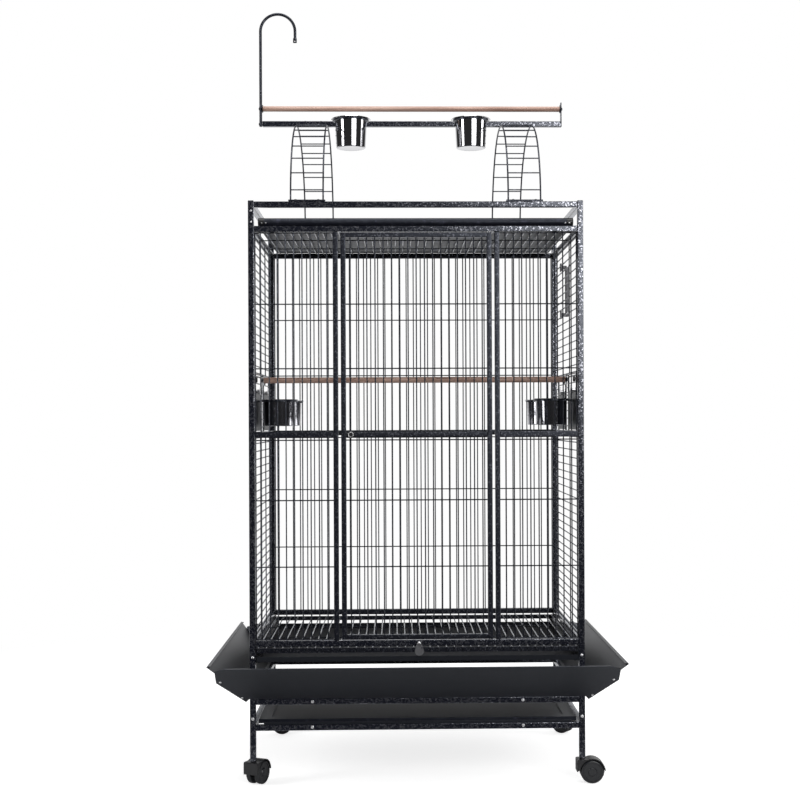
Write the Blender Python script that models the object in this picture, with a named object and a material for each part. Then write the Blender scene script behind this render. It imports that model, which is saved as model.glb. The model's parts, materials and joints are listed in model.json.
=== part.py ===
"""A play-top parrot cage on casters: square-tube frame, welded wire grilles, a front door, swing-out
feeder doors, pull-out grate and trays, seed guards and a play stand with arched ladders.

Run it with blender --background --python part.py. Lengths are in metres. +Z is up, the cage's front
faces -Y, and the origin is on the floor under the middle of the cage.
"""

from math import asin, cos, hypot, pi, radians, sin

import bmesh
import bpy
from mathutils import Matrix, Vector

# Fits
FIT = 0.0003  # gap between pieces that touch
WELD = 0.0006  # depth that a welded end sinks into its neighbour
THROUGH = 0.002  # how far a cutter passes beyond the wall that it cuts

# Frame
BODY_WIDTH = 0.800
BODY_DEPTH = 0.575
TUBE = 0.014
TUBE_WALL = 0.0012
POST_HEIGHT = 1.3355
SHELF_RAIL_BASE = 0.131
STAND_RAIL_BASE = 0.193
SILL_BASE = 0.3305
MID_RAIL_CENTRE = 0.835
HEADER_DROP = 0.0583  # from the underside of the crown rails to that of the header
CROWN_DROP = 0.0025  # top of the posts above the crown rails

# Wire grilles
WIRE = 0.003
WIRE_PITCH = 0.0197
EDGE_STRIP = 0.003
UPPER_WIRE_STEP = 0.154  # between the two cross wires above the mid rail
UPPER_WIRE_RISE = 0.158
LOWER_WIRE_STEP = 0.159
LOWER_WIRE_DROP = 0.157
MID_WIRE_DROP = 0.006
SIDE_SUPPORTS = (0.35, 0.61, 0.84)  # where the upright support wires stand, as shares of the depth
ROOF_SUPPORTS = (0.36, 0.68)
GRATE_SUPPORTS = (0.33, 0.66)

# Door
DOOR_WIDTH = 0.361
DOOR_SIDE_GAP = 0.0065
DOOR_END_GAP = 0.0014
STILE = 0.012
HINGE_PIN_LENGTH = 0.014
KNOB_RADIUS = 0.0085
KNOB_THICKNESS = 0.007
KNOB_INSET = 0.0235  # from the free edge of the door
LATCH_SHAFT_RADIUS = 0.0025
TONGUE_LENGTH = 0.040
TONGUE_WIDTH = 0.009
TONGUE_THICKNESS = 0.002

# Feeder doors and the cups in them
FEEDER_WIDTH = 0.160
FEEDER_HEIGHT = 0.140
FEEDER_SHARES = (-0.21739, 0.16522)  # middles of the doors, as shares of the depth
FEEDER_GAP = 0.0015
FEEDER_WIRE = 0.004
CATCH_RADIUS = 0.008
CATCH_DEPTH = 0.006
CUP_INSET = 0.054  # from the side wires to the middle of a cup
CUP_RIM_RADIUS = 0.0465
CUP_RADIUS = 0.0395
CUP_BASE_RADIUS = 0.038
CUP_DEPTH = 0.0665
CUP_RIM_RISE = 0.080  # rim above the sill of the feeder door
CUP_WALL = 0.0012
CUP_RIM = 0.002
RING_WIDTH = 0.004
RING_HEIGHT = 0.004

# Trays and grate
TRAY_DROP = 0.0357  # from the underside of the sill to that of the tray
TRAY_HEIGHT = 0.0117
SHEET = 0.0012
LEDGE_WIDTH = 0.012
LEDGE_THICKNESS = 0.0015
GRATE_DROP = 0.0145
GRATE_BAR_HEIGHT = 0.0115
GRATE_BAR_DEPTH = 0.004
GRATE_PITCH = 0.0195
SLIDE_GAP = 0.0007  # between a tray or the grate and what stands beside it
PLAY_TRAY_HEIGHT = 0.013
PLAY_TRAY_ROLL = 0.0095
PLAY_TRAY_SIDE_GAP = 0.0095

# Swivel tab of the grate
TAB_X = 0.0037
TAB_PIVOT_RISE = 0.022  # above the underside of the grate
TAB_NECK = 0.0055
TAB_BELLY = 0.011
TAB_DROP = 0.030
TAB_THICKNESS = 0.004
TAB_SCREW_RADIUS = 0.0016
TAB_HEAD_RADIUS = 0.0042
LUG_WIDTH = 0.008
LUG_THICKNESS = 0.0028

# Shelf
SHELF_THICKNESS = 0.010
SHELF_GAP = 0.005
SHELF_TAB_INSET = 0.1485  # from the side of the body to the middle of a tab
SHELF_TAB_WIDTH = 0.028
SHELF_TAB_THICKNESS = 0.002
SHELF_SHEET_DROP = 0.004
SHELF_BORDER = 0.030

# Seed guards
GUARD_LEAN = 0.084
GUARD_RISE = 0.0860  # from the top of the stand rails to that of the front guard
GUARD_SIDE_RISE = 0.0920
GUARD_LIP = 0.008
GUARD_EAR = 0.017
GUARD_CORNER_CUT = 0.022

# Casters
WHEEL_RADIUS = 0.028
WHEEL_SIDES = 16
WHEEL_WIDTH = 0.013
WHEEL_CHAMFER = 0.003
AXLE_RADIUS = 0.003
CASTER_WEB = 0.010
CASTER_TRAIL = 0.0225
HOOD_WALL = 0.002
HOOD_GAP = 0.0015
STEM_LENGTH = 0.030
LEG_CLEARANCE = 0.001
LEG_RISE = 0.002  # foot of the legs above the top of the wheels
FRONT_LEFT_TURN = 66.0
FRONT_RIGHT_TURN = 0.0
REAR_LEFT_TURN = 20.0
REAR_RIGHT_TURN = -35.0

# Perches, play stand and hook
PERCH_RADIUS = 0.0075
PERCH_SIDES = 12
PERCH_PLATE = 0.026
PERCH_PLATE_THICKNESS = 0.002
LADDER_INSET = 0.140  # from the side of the body to the middle of a ladder
LADDER_WIDTH = 0.0775
LADDER_WIRE = 0.004
LADDER_RISE = 0.230
LADDER_STEPS = 16
RUNG_PITCH = 0.0435
FIRST_RUNG = 0.024
FOOT_PLATE = 0.088
FOOT_THICKNESS = 0.004
BEAM_LEFT_INSET = 0.0095  # from the side of the body to the end of the beam
BEAM_RIGHT_INSET = 0.0205
PLAY_PERCH_RISE = 0.0325  # from the top of the beam to the middle of the perch
PLAY_PERCH_RADIUS = 0.0068
END_PLATE = 0.003
END_PLATE_RISE = 0.049
HOOK_RADIUS = 0.0445
HOOK_TUBE = 0.004
HOOK_POST_RISE = 0.2320
HOOK_TIP = 0.030
HOOK_STEPS = 12
PLAY_CUP_INSETS = (0.099, 0.116)  # from the middle of each ladder to the middle of its cup
PLAY_CUP_RIM_RADIUS = 0.050
PLAY_CUP_RADIUS = 0.041
PLAY_CUP_BASE_RADIUS = 0.0375
PLAY_CUP_DEPTH = 0.0745
PLAY_CUP_SINK = 0.0065  # rim below the top of the beam
CLAMP_WIDTH = 0.030
CLAMP_WALL = 0.002

# Side handle
HANDLE_SHARE = 0.278  # how far behind the middle it stands, as a share of the depth
HANDLE_LENGTH = 0.150
HANDLE_DROP = 0.1777  # from the underside of the header to the lower end
HANDLE_REACH = 0.023
HANDLE_BAR = 0.010
HANDLE_FOOT = 0.022

CUP_SIDES = 16
ROUND_SIDES = 12

# Places worked out from the sizes above
HALF_WIDTH = BODY_WIDTH / 2
HALF_DEPTH = BODY_DEPTH / 2
POST_INNER_X = HALF_WIDTH - TUBE
POST_INNER_Y = HALF_DEPTH - TUBE
LEG_FOOT = 2 * WHEEL_RADIUS + LEG_RISE
POST_TOP = LEG_FOOT + POST_HEIGHT
CROWN_TOP = POST_TOP - CROWN_DROP
CROWN_BASE = CROWN_TOP - TUBE
SILL_TOP = SILL_BASE + TUBE
HEADER_BASE = CROWN_BASE - HEADER_DROP
HEADER_TOP = HEADER_BASE + TUBE
HANDLE_BASE = HEADER_BASE - HANDLE_DROP
TRAY_BASE = SILL_BASE - TRAY_DROP
GRATE_BASE = SILL_BASE - GRATE_DROP
STAND_RAIL_TOP = STAND_RAIL_BASE + TUBE
SHELF_RAIL_TOP = SHELF_RAIL_BASE + TUBE
MID_RAIL_BASE = MID_RAIL_CENTRE - TUBE / 2
MID_RAIL_TOP = MID_RAIL_CENTRE + TUBE / 2
DOOR_HALF = DOOR_WIDTH / 2
FIXED_STILE_INNER = DOOR_HALF + DOOR_SIDE_GAP
FIXED_STILE_OUTER = FIXED_STILE_INNER + STILE
DOOR_BASE = SILL_TOP + DOOR_END_GAP
DOOR_TOP = HEADER_BASE - DOOR_END_GAP
FRONT_FACE = -HALF_DEPTH
DOOR_FRONT = FRONT_FACE + (TUBE - STILE) / 2
DOOR_BACK = DOOR_FRONT + STILE
HINGE_X = DOOR_HALF - STILE / 2
HINGE_Y = (DOOR_FRONT + DOOR_BACK) / 2
BAR_FRONT = FRONT_FACE + TUBE / 2 + WIRE / 2
BAR_BACK = BAR_FRONT + WIRE
CROSS_FRONT = BAR_BACK + FIT
CROSS_BACK = CROSS_FRONT + WIRE
CROSS_WIRE_HEIGHTS = (
    MID_RAIL_CENTRE + UPPER_WIRE_RISE + UPPER_WIRE_STEP,
    MID_RAIL_CENTRE + UPPER_WIRE_RISE,
    MID_RAIL_BASE - MID_WIRE_DROP,
    MID_RAIL_CENTRE - LOWER_WIRE_DROP,
    MID_RAIL_CENTRE - LOWER_WIRE_DROP - LOWER_WIRE_STEP,
)
SIDE_WIRE_X = HALF_WIDTH - TUBE / 2
SIDE_WIRE_OUT = SIDE_WIRE_X + WIRE
FEEDER_CENTRES = (FEEDER_SHARES[0] * BODY_DEPTH, FEEDER_SHARES[1] * BODY_DEPTH)
FEEDER_BASE = MID_RAIL_TOP
CUP_RIM_HEIGHT = FEEDER_BASE + CUP_RIM_RISE
LADDER_X = HALF_WIDTH - LADDER_INSET
BEAM_LEFT = BEAM_LEFT_INSET - HALF_WIDTH
BEAM_RIGHT = HALF_WIDTH - BEAM_RIGHT_INSET
PLAY_CUPS = (PLAY_CUP_INSETS[0] - LADDER_X, LADDER_X - PLAY_CUP_INSETS[1])
SHELF_TAB_X = HALF_WIDTH - SHELF_TAB_INSET
FEEDER_TOP = FEEDER_BASE + FEEDER_HEIGHT
PERCH_HEIGHT = FEEDER_TOP + FEEDER_WIRE - PERCH_PLATE / 2 - FIT
GUARD_BASE = STAND_RAIL_TOP + SHEET / 2
GUARD_TOP = STAND_RAIL_TOP + GUARD_RISE
GUARD_SIDE_TOP = STAND_RAIL_TOP + GUARD_SIDE_RISE
GUARD_SLOPE = GUARD_LEAN / (GUARD_TOP - GUARD_BASE)
GUARD_COS = 1 / hypot(1, GUARD_SLOPE)
BEAM_BASE = CROWN_TOP + 2 * FIT + FOOT_THICKNESS - WELD + LADDER_RISE + LADDER_WIRE / 2
BEAM_TOP = BEAM_BASE + TUBE
PLAY_PERCH_Z = BEAM_TOP + PLAY_PERCH_RISE
HOOK_X = BEAM_LEFT - FIT - HOOK_TUBE


def material(name, colour, roughness, metallic):
    made = bpy.data.materials.new(name)
    made.use_nodes = True
    shader = made.node_tree.nodes["Principled BSDF"]
    shader.inputs["Base Color"].default_value = (*colour, 1)
    shader.inputs["Roughness"].default_value = roughness
    shader.inputs["Metallic"].default_value = metallic
    return made


def box(bm, low, high):
    """Adds a box between two corners."""
    low, high = Vector(low), Vector(high)
    size = Matrix.Diagonal((*(high - low), 1))
    bmesh.ops.create_cube(bm, size=1, matrix=Matrix.Translation((low + high) / 2) @ size)


def boxes(*corners):
    bm = bmesh.new()
    for low, high in corners:
        box(bm, low, high)
    return bm


def prism(outline, axis, start, end):
    """A closed outline drawn in the plane across an axis and extruded from start to end along it."""
    bm = bmesh.new()
    verts = []
    for a, b in outline:
        place = {"X": (start, a, b), "Y": (a, start, b), "Z": (a, b, start)}[axis]
        verts.append(bm.verts.new(place))
    face = bm.faces.new(verts)
    step = Vector({"X": (1, 0, 0), "Y": (0, 1, 0), "Z": (0, 0, 1)}[axis]) * (end - start)
    moved = bmesh.ops.extrude_face_region(bm, geom=[face])["geom"]
    bmesh.ops.translate(bm, vec=step, verts=[v for v in moved if isinstance(v, bmesh.types.BMVert)])
    bmesh.ops.recalc_face_normals(bm, faces=bm.faces)
    return bm


def turned(profile, sides, phase=0.0):
    """A solid turned about the Z axis from (radius, height) points that start and end on the axis."""
    bm = bmesh.new()
    verts = [bm.verts.new((r * cos(phase), r * sin(phase), z)) for r, z in profile]
    edges = [bm.edges.new(pair) for pair in zip(verts, verts[1:])]
    bmesh.ops.spin(
        bm,
        geom=verts + edges,
        cent=(0, 0, 0),
        axis=(0, 0, 1),
        angle=2 * pi,
        steps=sides,
        use_duplicate=False,
    )
    bmesh.ops.remove_doubles(bm, verts=bm.verts, dist=1e-6)
    bmesh.ops.recalc_face_normals(bm, faces=bm.faces)
    return bm


def rod(radius, sides, start, end):
    """A straight rod between two points."""
    start, end = Vector(start), Vector(end)
    bm = bmesh.new()
    bmesh.ops.create_cone(
        bm, cap_ends=True, segments=sides, radius1=radius, radius2=radius, depth=(end - start).length
    )
    turn = (end - start).to_track_quat("Z", "Y").to_matrix().to_4x4()
    bmesh.ops.transform(bm, matrix=Matrix.Translation((start + end) / 2) @ turn, verts=bm.verts)
    return bm


def swept(path, radius, sides, across):
    """A bent rod: one ring at each point of a flat path. The vector across stands square to its plane."""
    bm = bmesh.new()
    path, across = [Vector(p) for p in path], Vector(across)
    rings = []
    for i, point in enumerate(path):
        ahead = path[min(i + 1, len(path) - 1)] - path[max(i - 1, 0)]
        beside = across.cross(ahead).normalized()
        angles = [2 * pi * (k + 0.5) / sides for k in range(sides)]
        rings.append(
            [bm.verts.new(point + radius * (cos(a) * across + sin(a) * beside)) for a in angles]
        )
    for ring, following in zip(rings, rings[1:]):
        for k in range(sides):
            n = (k + 1) % sides
            bm.faces.new((ring[k], ring[n], following[n], following[k]))
    bm.faces.new(rings[0])
    bm.faces.new(rings[-1])
    bmesh.ops.recalc_face_normals(bm, faces=bm.faces)
    return bm


def sheet(points, thickness):
    """A flat sheet with the given corners at the middle of its thickness."""
    bm = bmesh.new()
    points = [Vector(p) for p in points]
    normal = (points[1] - points[0]).cross(points[2] - points[1]).normalized()
    face = bm.faces.new([bm.verts.new(p - normal * thickness / 2) for p in points])
    moved = bmesh.ops.extrude_face_region(bm, geom=[face])["geom"]
    bmesh.ops.translate(
        bm, vec=normal * thickness, verts=[v for v in moved if isinstance(v, bmesh.types.BMVert)]
    )
    bmesh.ops.recalc_face_normals(bm, faces=bm.faces)
    return bm


def hollow_tube(low, high, axis):
    """A square tube, open at both ends, that runs along an axis between two corners."""
    bore_low, bore_high = Vector(low), Vector(high)
    for i in range(3):
        inwards = -THROUGH if i == "XYZ".index(axis) else TUBE_WALL
        bore_low[i] += inwards
        bore_high[i] -= inwards
    return combined(boxes((low, high)), "DIFFERENCE", boxes((bore_low, bore_high)))


def as_object(name, bm):
    mesh = bpy.data.meshes.new(name)
    bm.to_mesh(mesh)
    bm.free()
    made = bpy.data.objects.new(name, mesh)
    bpy.context.scene.collection.objects.link(made)
    return made


def combined(first, operation, *others):
    """The first mesh with each of the others joined to it or cut from it."""
    for other in others:
        base, tool = as_object("base", first), as_object("tool", other)
        boolean = base.modifiers.new("boolean", "BOOLEAN")
        boolean.operation = operation
        boolean.object = tool
        boolean.solver = "EXACT"
        bpy.context.view_layer.update()
        made = base.evaluated_get(bpy.context.evaluated_depsgraph_get()).to_mesh()
        first = bmesh.new()
        first.from_mesh(made)
        for spent in (base, tool):
            data = spent.data
            bpy.data.objects.remove(spent)
            bpy.data.meshes.remove(data)
    return first


def welded(*meshes):
    return combined(meshes[0], "UNION", *meshes[1:])


def node(name, bm, look, origin=(0, 0, 0), parent=None, smooth=False):
    """Makes a named piece whose own origin lies at the given place, which is its joint if it moves."""
    bmesh.ops.translate(bm, vec=-Vector(origin), verts=bm.verts)
    made = as_object(name, bm)
    made.location = Vector(origin)
    if parent:
        made.parent = parent
        made.location -= parent.location
    made.data.materials.append(look)
    if smooth:
        made.data.shade_smooth()
        made.data.set_sharp_from_angle(angle=radians(40))
    return made


def pivot(name, place, parent=None):
    """An empty on a joint, for the pieces that move about it together."""
    made = bpy.data.objects.new(name, None)
    bpy.context.scene.collection.objects.link(made)
    made.location = Vector(place)
    if parent:
        made.parent = parent
        made.location -= parent.location
    return made


def spread(low, high, pitch):
    """Middles of as many wires as fit between two edges at the given pitch, evenly placed."""
    count = max(1, int((high - low) / pitch + 1e-6))
    middle = (low + high) / 2
    return [middle + (i - (count - 1) / 2) * pitch for i in range(count)]


def side_name(side):
    return "left" if side < 0 else "right"


def span(side, inner, outer):
    """The low and high x of something between two distances from the middle, on the given side."""
    return (inner, outer) if side > 0 else (-outer, -inner)


for old in list(bpy.data.objects):
    bpy.data.objects.remove(old)

HAMMERTONE = material("hammertone_black", (0.045, 0.046, 0.055), 0.42, 0.6)
SATIN = material("satin_black", (0.022, 0.023, 0.026), 0.45, 0.3)
PLASTIC = material("black_plastic", (0.016, 0.017, 0.020), 0.5, 0.0)
GREY = material("grey_plastic", (0.11, 0.11, 0.12), 0.5, 0.0)
WOOD = material("perch_wood", (0.45, 0.26, 0.19), 0.6, 0.0)
STEEL = material("polished_steel", (0.62, 0.62, 0.63), 0.12, 1.0)


def side_frame(side):
    """Two posts with the rails that are welded between them, and the surrounds of the feeder doors."""
    x_low, x_high = span(side, POST_INNER_X, HALF_WIDTH)
    wire_low, wire_high = span(side, SIDE_WIRE_X - FEEDER_WIRE / 2, SIDE_WIRE_X + FEEDER_WIRE / 2)
    posts = []
    for y in (-HALF_DEPTH, POST_INNER_Y):
        low, high = (x_low, y, LEG_FOOT), (x_high, y + TUBE, POST_TOP)
        bore_low = (x_low + TUBE_WALL, y + TUBE_WALL, LEG_FOOT - THROUGH)
        bore_high = (x_high - TUBE_WALL, y + TUBE - TUBE_WALL, POST_TOP - TUBE_WALL)
        posts.append(combined(boxes((low, high)), "DIFFERENCE", boxes((bore_low, bore_high))))
    reach = POST_INNER_Y + WELD
    rails = bmesh.new()
    for base in (SHELF_RAIL_BASE, STAND_RAIL_BASE, SILL_BASE, MID_RAIL_BASE, HEADER_BASE, CROWN_BASE):
        box(rails, (x_low, -reach, base), (x_high, reach, base + TUBE))
    box(rails, (wire_low, -reach, FEEDER_TOP), (wire_high, reach, FEEDER_TOP + FEEDER_WIRE))
    jambs = bmesh.new()
    edges = [-POST_INNER_Y]
    for centre in FEEDER_CENTRES:
        for edge, outward in ((centre - FEEDER_WIDTH / 2, -1), (centre + FEEDER_WIDTH / 2, 1)):
            near = edge + outward * FEEDER_GAP
            far = near + outward * FEEDER_WIRE
            y_low, y_high = min(near, far), max(near, far)
            box(jambs, (wire_low, y_low, FEEDER_BASE - WELD), (wire_high, y_high, FEEDER_TOP + WELD))
            edges.append(y_low if outward < 0 else y_high)
    edges.append(POST_INNER_Y)
    wires = bmesh.new()
    out_low, out_high = span(side, SIDE_WIRE_X - WIRE / 2, SIDE_WIRE_X + WIRE / 2)
    for z in spread(FEEDER_BASE, FEEDER_TOP, WIRE_PITCH):
        for start, end in zip(edges[0::2], edges[1::2]):
            box(
                wires,
                (out_low, start - WELD, z - WIRE / 2),
                (out_high, end + WELD, z + WIRE / 2),
            )
    perch_y = perch_middle()
    plate_low, plate_high = span(
        side, SIDE_WIRE_X - FEEDER_WIRE / 2 - PERCH_PLATE_THICKNESS, SIDE_WIRE_X - FEEDER_WIRE / 2 + WELD
    )
    plate = boxes(
        (
            (plate_low, perch_y - PERCH_PLATE / 2, PERCH_HEIGHT - PERCH_PLATE / 2),
            (plate_high, perch_y + PERCH_PLATE / 2, PERCH_HEIGHT + PERCH_PLATE / 2),
        )
    )
    frame = welded(posts[0], rails, posts[1], jambs, wires, plate)
    return node(f"{side_name(side)}_side_frame", frame, HAMMERTONE)


def perch_middle():
    """The inner perch is bolted between the two feeder doors."""
    return (FEEDER_CENTRES[0] + FEEDER_CENTRES[1]) / 2


def side_grille(side, name, base, top):
    """A wire mat in the side frame: level wires on upright supports, welded into a thin rim."""
    low_x, high_x = span(side, SIDE_WIRE_X - WIRE - FIT, SIDE_WIRE_OUT)
    wire_low, wire_high = span(side, SIDE_WIRE_X, SIDE_WIRE_OUT)
    support_low, support_high = span(side, SIDE_WIRE_X - WIRE - FIT, SIDE_WIRE_X - FIT)
    edge_y = POST_INNER_Y - FIT
    low_z, high_z = base + FIT, top - FIT
    rim = combined(
        boxes(((low_x, -edge_y, low_z), (high_x, edge_y, high_z))),
        "DIFFERENCE",
        boxes(
            (
                (low_x - THROUGH, -edge_y + EDGE_STRIP, low_z + EDGE_STRIP),
                (high_x + THROUGH, edge_y - EDGE_STRIP, high_z - EDGE_STRIP),
            )
        ),
    )
    wires = bmesh.new()
    reach = edge_y - EDGE_STRIP + WELD
    for z in spread(low_z + EDGE_STRIP, high_z - EDGE_STRIP, WIRE_PITCH):
        box(wires, (wire_low, -reach, z - WIRE / 2), (wire_high, reach, z + WIRE / 2))
    for share in SIDE_SUPPORTS:
        y = -POST_INNER_Y + share * 2 * POST_INNER_Y
        box(
            wires,
            (support_low, y - WIRE / 2, low_z + EDGE_STRIP - WELD),
            (support_high, y + WIRE / 2, high_z - EDGE_STRIP + WELD),
        )
    return node(f"{side_name(side)}_{name}_grille", welded(rim, wires), HAMMERTONE)


def front_grille(side):
    """A fixed front panel beside the door: the door's jamb, a mid rail and upright bars."""
    outer = POST_INNER_X - FIT
    low_z, high_z = SILL_TOP + FIT, HEADER_BASE - FIT
    stile_low, stile_high = span(side, FIXED_STILE_INNER, FIXED_STILE_OUTER)
    edge_low, edge_high = span(side, outer - EDGE_STRIP, outer)
    run_low, run_high = span(side, FIXED_STILE_OUTER - WELD, outer - EDGE_STRIP + WELD)
    rail_low, rail_high = span(side, FIXED_STILE_OUTER - WELD, outer)
    rail_back = BAR_FRONT - FIT
    uprights = boxes(
        ((stile_low, FRONT_FACE, low_z), (stile_high, FRONT_FACE + TUBE, high_z)),
        ((edge_low, BAR_FRONT, low_z), (edge_high, CROSS_BACK, high_z)),
    )
    rails = boxes(
        ((rail_low, BAR_FRONT, low_z), (rail_high, CROSS_BACK, low_z + EDGE_STRIP)),
        ((rail_low, BAR_FRONT, high_z - EDGE_STRIP), (rail_high, CROSS_BACK, high_z)),
        ((rail_low, FRONT_FACE, MID_RAIL_BASE), (rail_high, rail_back, MID_RAIL_TOP)),
    )
    for z in CROSS_WIRE_HEIGHTS:
        box(rails, (run_low, CROSS_FRONT, z - WIRE / 2), (run_high, CROSS_BACK, z + WIRE / 2))
    bars = bmesh.new()
    gap_low, gap_high = span(side, FIXED_STILE_OUTER, outer)
    for x in spread(gap_low, gap_high, WIRE_PITCH):
        box(
            bars,
            (x - WIRE / 2, BAR_FRONT, low_z + EDGE_STRIP - WELD),
            (x + WIRE / 2, BAR_BACK, high_z - EDGE_STRIP + WELD),
        )
    return node(f"{side_name(side)}_front_grille", welded(uprights, rails, bars), HAMMERTONE)


def rear_grille():
    """The back panel: top, middle and bottom rails with upright bars, cross wires and thin edges."""
    outer = POST_INNER_X - FIT
    back = HALF_DEPTH
    bar_back = back - TUBE / 2 - WIRE / 2
    bar_front = bar_back - WIRE
    cross_back = bar_front - FIT
    cross_front = cross_back - WIRE
    rails = boxes(
        ((-outer, POST_INNER_Y, SILL_BASE), (outer, back, SILL_TOP)),
        ((-outer, POST_INNER_Y, HEADER_BASE), (outer, back, HEADER_TOP)),
        ((-outer, bar_back + FIT, MID_RAIL_BASE), (outer, back, MID_RAIL_TOP)),
    )
    for z in CROSS_WIRE_HEIGHTS:
        box(rails, (-outer + WELD, cross_front, z - WIRE / 2), (outer - WELD, cross_back, z + WIRE / 2))
    uprights = bmesh.new()
    for side in (-1, 1):
        low, high = span(side, outer - EDGE_STRIP, outer)
        box(uprights, (low, cross_front, SILL_TOP - WELD), (high, back - FIT, HEADER_BASE + WELD))
    for x in spread(-outer, outer, WIRE_PITCH):
        box(
            uprights,
            (x - WIRE / 2, bar_front, SILL_TOP - WELD),
            (x + WIRE / 2, bar_back, HEADER_BASE + WELD),
        )
    return node("rear_grille", welded(rails, uprights), HAMMERTONE)


def roof_grille():
    """The wire roof under the play tray, which runs from front to back on two cross wires."""
    outer_x = POST_INNER_X - FIT
    front, back = FRONT_FACE + TUBE + FIT, POST_INNER_Y - FIT
    wire_top = HEADER_BASE + TUBE / 2 + WIRE
    low_z, high_z = wire_top - 2 * WIRE - FIT, wire_top
    rim = combined(
        boxes(((-outer_x, front, low_z), (outer_x, back, high_z))),
        "DIFFERENCE",
        boxes(
            (
                (-outer_x + EDGE_STRIP, front + EDGE_STRIP, low_z - THROUGH),
                (outer_x - EDGE_STRIP, back - EDGE_STRIP, high_z + THROUGH),
            )
        ),
    )
    wires = bmesh.new()
    for x in spread(-outer_x + EDGE_STRIP, outer_x - EDGE_STRIP, WIRE_PITCH):
        box(
            wires,
            (x - WIRE / 2, front + EDGE_STRIP - WELD, high_z - WIRE),
            (x + WIRE / 2, back - EDGE_STRIP + WELD, high_z),
        )
    for share in ROOF_SUPPORTS:
        y = front + share * (back - front)
        reach = outer_x - EDGE_STRIP + WELD
        box(wires, (-reach, y - WIRE / 2, low_z), (reach, y + WIRE / 2, low_z + WIRE))
    return node("roof_grille", welded(rim, wires), HAMMERTONE)


def cross_rails():
    """The tubes that tie the two side frames together."""
    reach = POST_INNER_X - FIT
    for name, y, base in (
        ("crown_front_rail", -HALF_DEPTH, CROWN_BASE),
        ("crown_rear_rail", POST_INNER_Y, CROWN_BASE),
        ("header_rail", -HALF_DEPTH, HEADER_BASE),
        ("sill_rail", -HALF_DEPTH, SILL_BASE),
        ("stand_front_rail", -HALF_DEPTH, STAND_RAIL_BASE),
        ("stand_rear_rail", POST_INNER_Y, STAND_RAIL_BASE),
        ("shelf_front_rail", -HALF_DEPTH, SHELF_RAIL_BASE),
        ("shelf_rear_rail", POST_INNER_Y, SHELF_RAIL_BASE),
    ):
        node(name, hollow_tube((-reach, y, base), (reach, y + TUBE, base + TUBE), "X"), HAMMERTONE)


def shelf():
    """The storage shelf between the lower rails: a sheet in a raised border, on tabs over the rails."""
    low_z = SHELF_RAIL_TOP + FIT
    half_x, half_y = POST_INNER_X - SHELF_GAP, POST_INNER_Y - SHELF_GAP
    panel = boxes(((-half_x, -half_y, low_z), (half_x, half_y, low_z + SHELF_THICKNESS)))
    sunk = boxes(
        (
            (-half_x + SHELF_BORDER, -half_y + SHELF_BORDER, low_z + SHELF_THICKNESS - SHELF_SHEET_DROP),
            (half_x - SHELF_BORDER, half_y - SHELF_BORDER, low_z + SHELF_THICKNESS + THROUGH),
        )
    )
    tabs = bmesh.new()
    reach = HALF_DEPTH - THROUGH
    for x in (-SHELF_TAB_X, SHELF_TAB_X):
        low, high = x - SHELF_TAB_WIDTH / 2, x + SHELF_TAB_WIDTH / 2
        box(tabs, (low, -reach, low_z), (high, -half_y + WELD, low_z + SHELF_TAB_THICKNESS))
        box(tabs, (low, half_y - WELD, low_z), (high, reach, low_z + SHELF_TAB_THICKNESS))
    return node("shelf", welded(combined(panel, "DIFFERENCE", sunk), tabs), SATIN)


def runner(side):
    """The folded runner that carries the tray on its lower ledge and the grate on its upper one."""
    wall = POST_INNER_X - FIT
    tray_ledge = TRAY_BASE - FIT
    grate_ledge = GRATE_BASE - FIT
    outline = [
        (wall, tray_ledge - LEDGE_THICKNESS),
        (wall, SILL_BASE - FIT),
        (wall - LEDGE_THICKNESS, SILL_BASE - FIT),
        (wall - LEDGE_THICKNESS, grate_ledge),
        (wall - LEDGE_WIDTH, grate_ledge),
        (wall - LEDGE_WIDTH, grate_ledge - LEDGE_THICKNESS),
        (wall - LEDGE_THICKNESS, grate_ledge - LEDGE_THICKNESS),
        (wall - LEDGE_THICKNESS, tray_ledge),
        (wall - LEDGE_WIDTH, tray_ledge),
        (wall - LEDGE_WIDTH, tray_ledge - LEDGE_THICKNESS),
    ]
    outline = [(side * x, z) for x, z in outline]
    reach = HALF_DEPTH - TUBE_WALL
    return node(f"{side_name(side)}_runner", prism(outline, "Y", -reach, reach), SATIN)


def pan(half_x, front, back, base, height, thickness):
    """An open tray with upright walls."""
    return combined(
        boxes(((-half_x, front, base), (half_x, back, base + height))),
        "DIFFERENCE",
        boxes(
            (
                (-half_x + thickness, front + thickness, base + thickness),
                (half_x - thickness, back - thickness, base + height + THROUGH),
            )
        ),
    )


def droppings_tray():
    half_x = POST_INNER_X - FIT - LEDGE_THICKNESS - SLIDE_GAP
    tray = pan(half_x, FRONT_FACE, POST_INNER_Y - SLIDE_GAP, TRAY_BASE, TRAY_HEIGHT, SHEET)
    return node("droppings_tray", tray, SATIN, (0, FRONT_FACE, TRAY_BASE))


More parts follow.
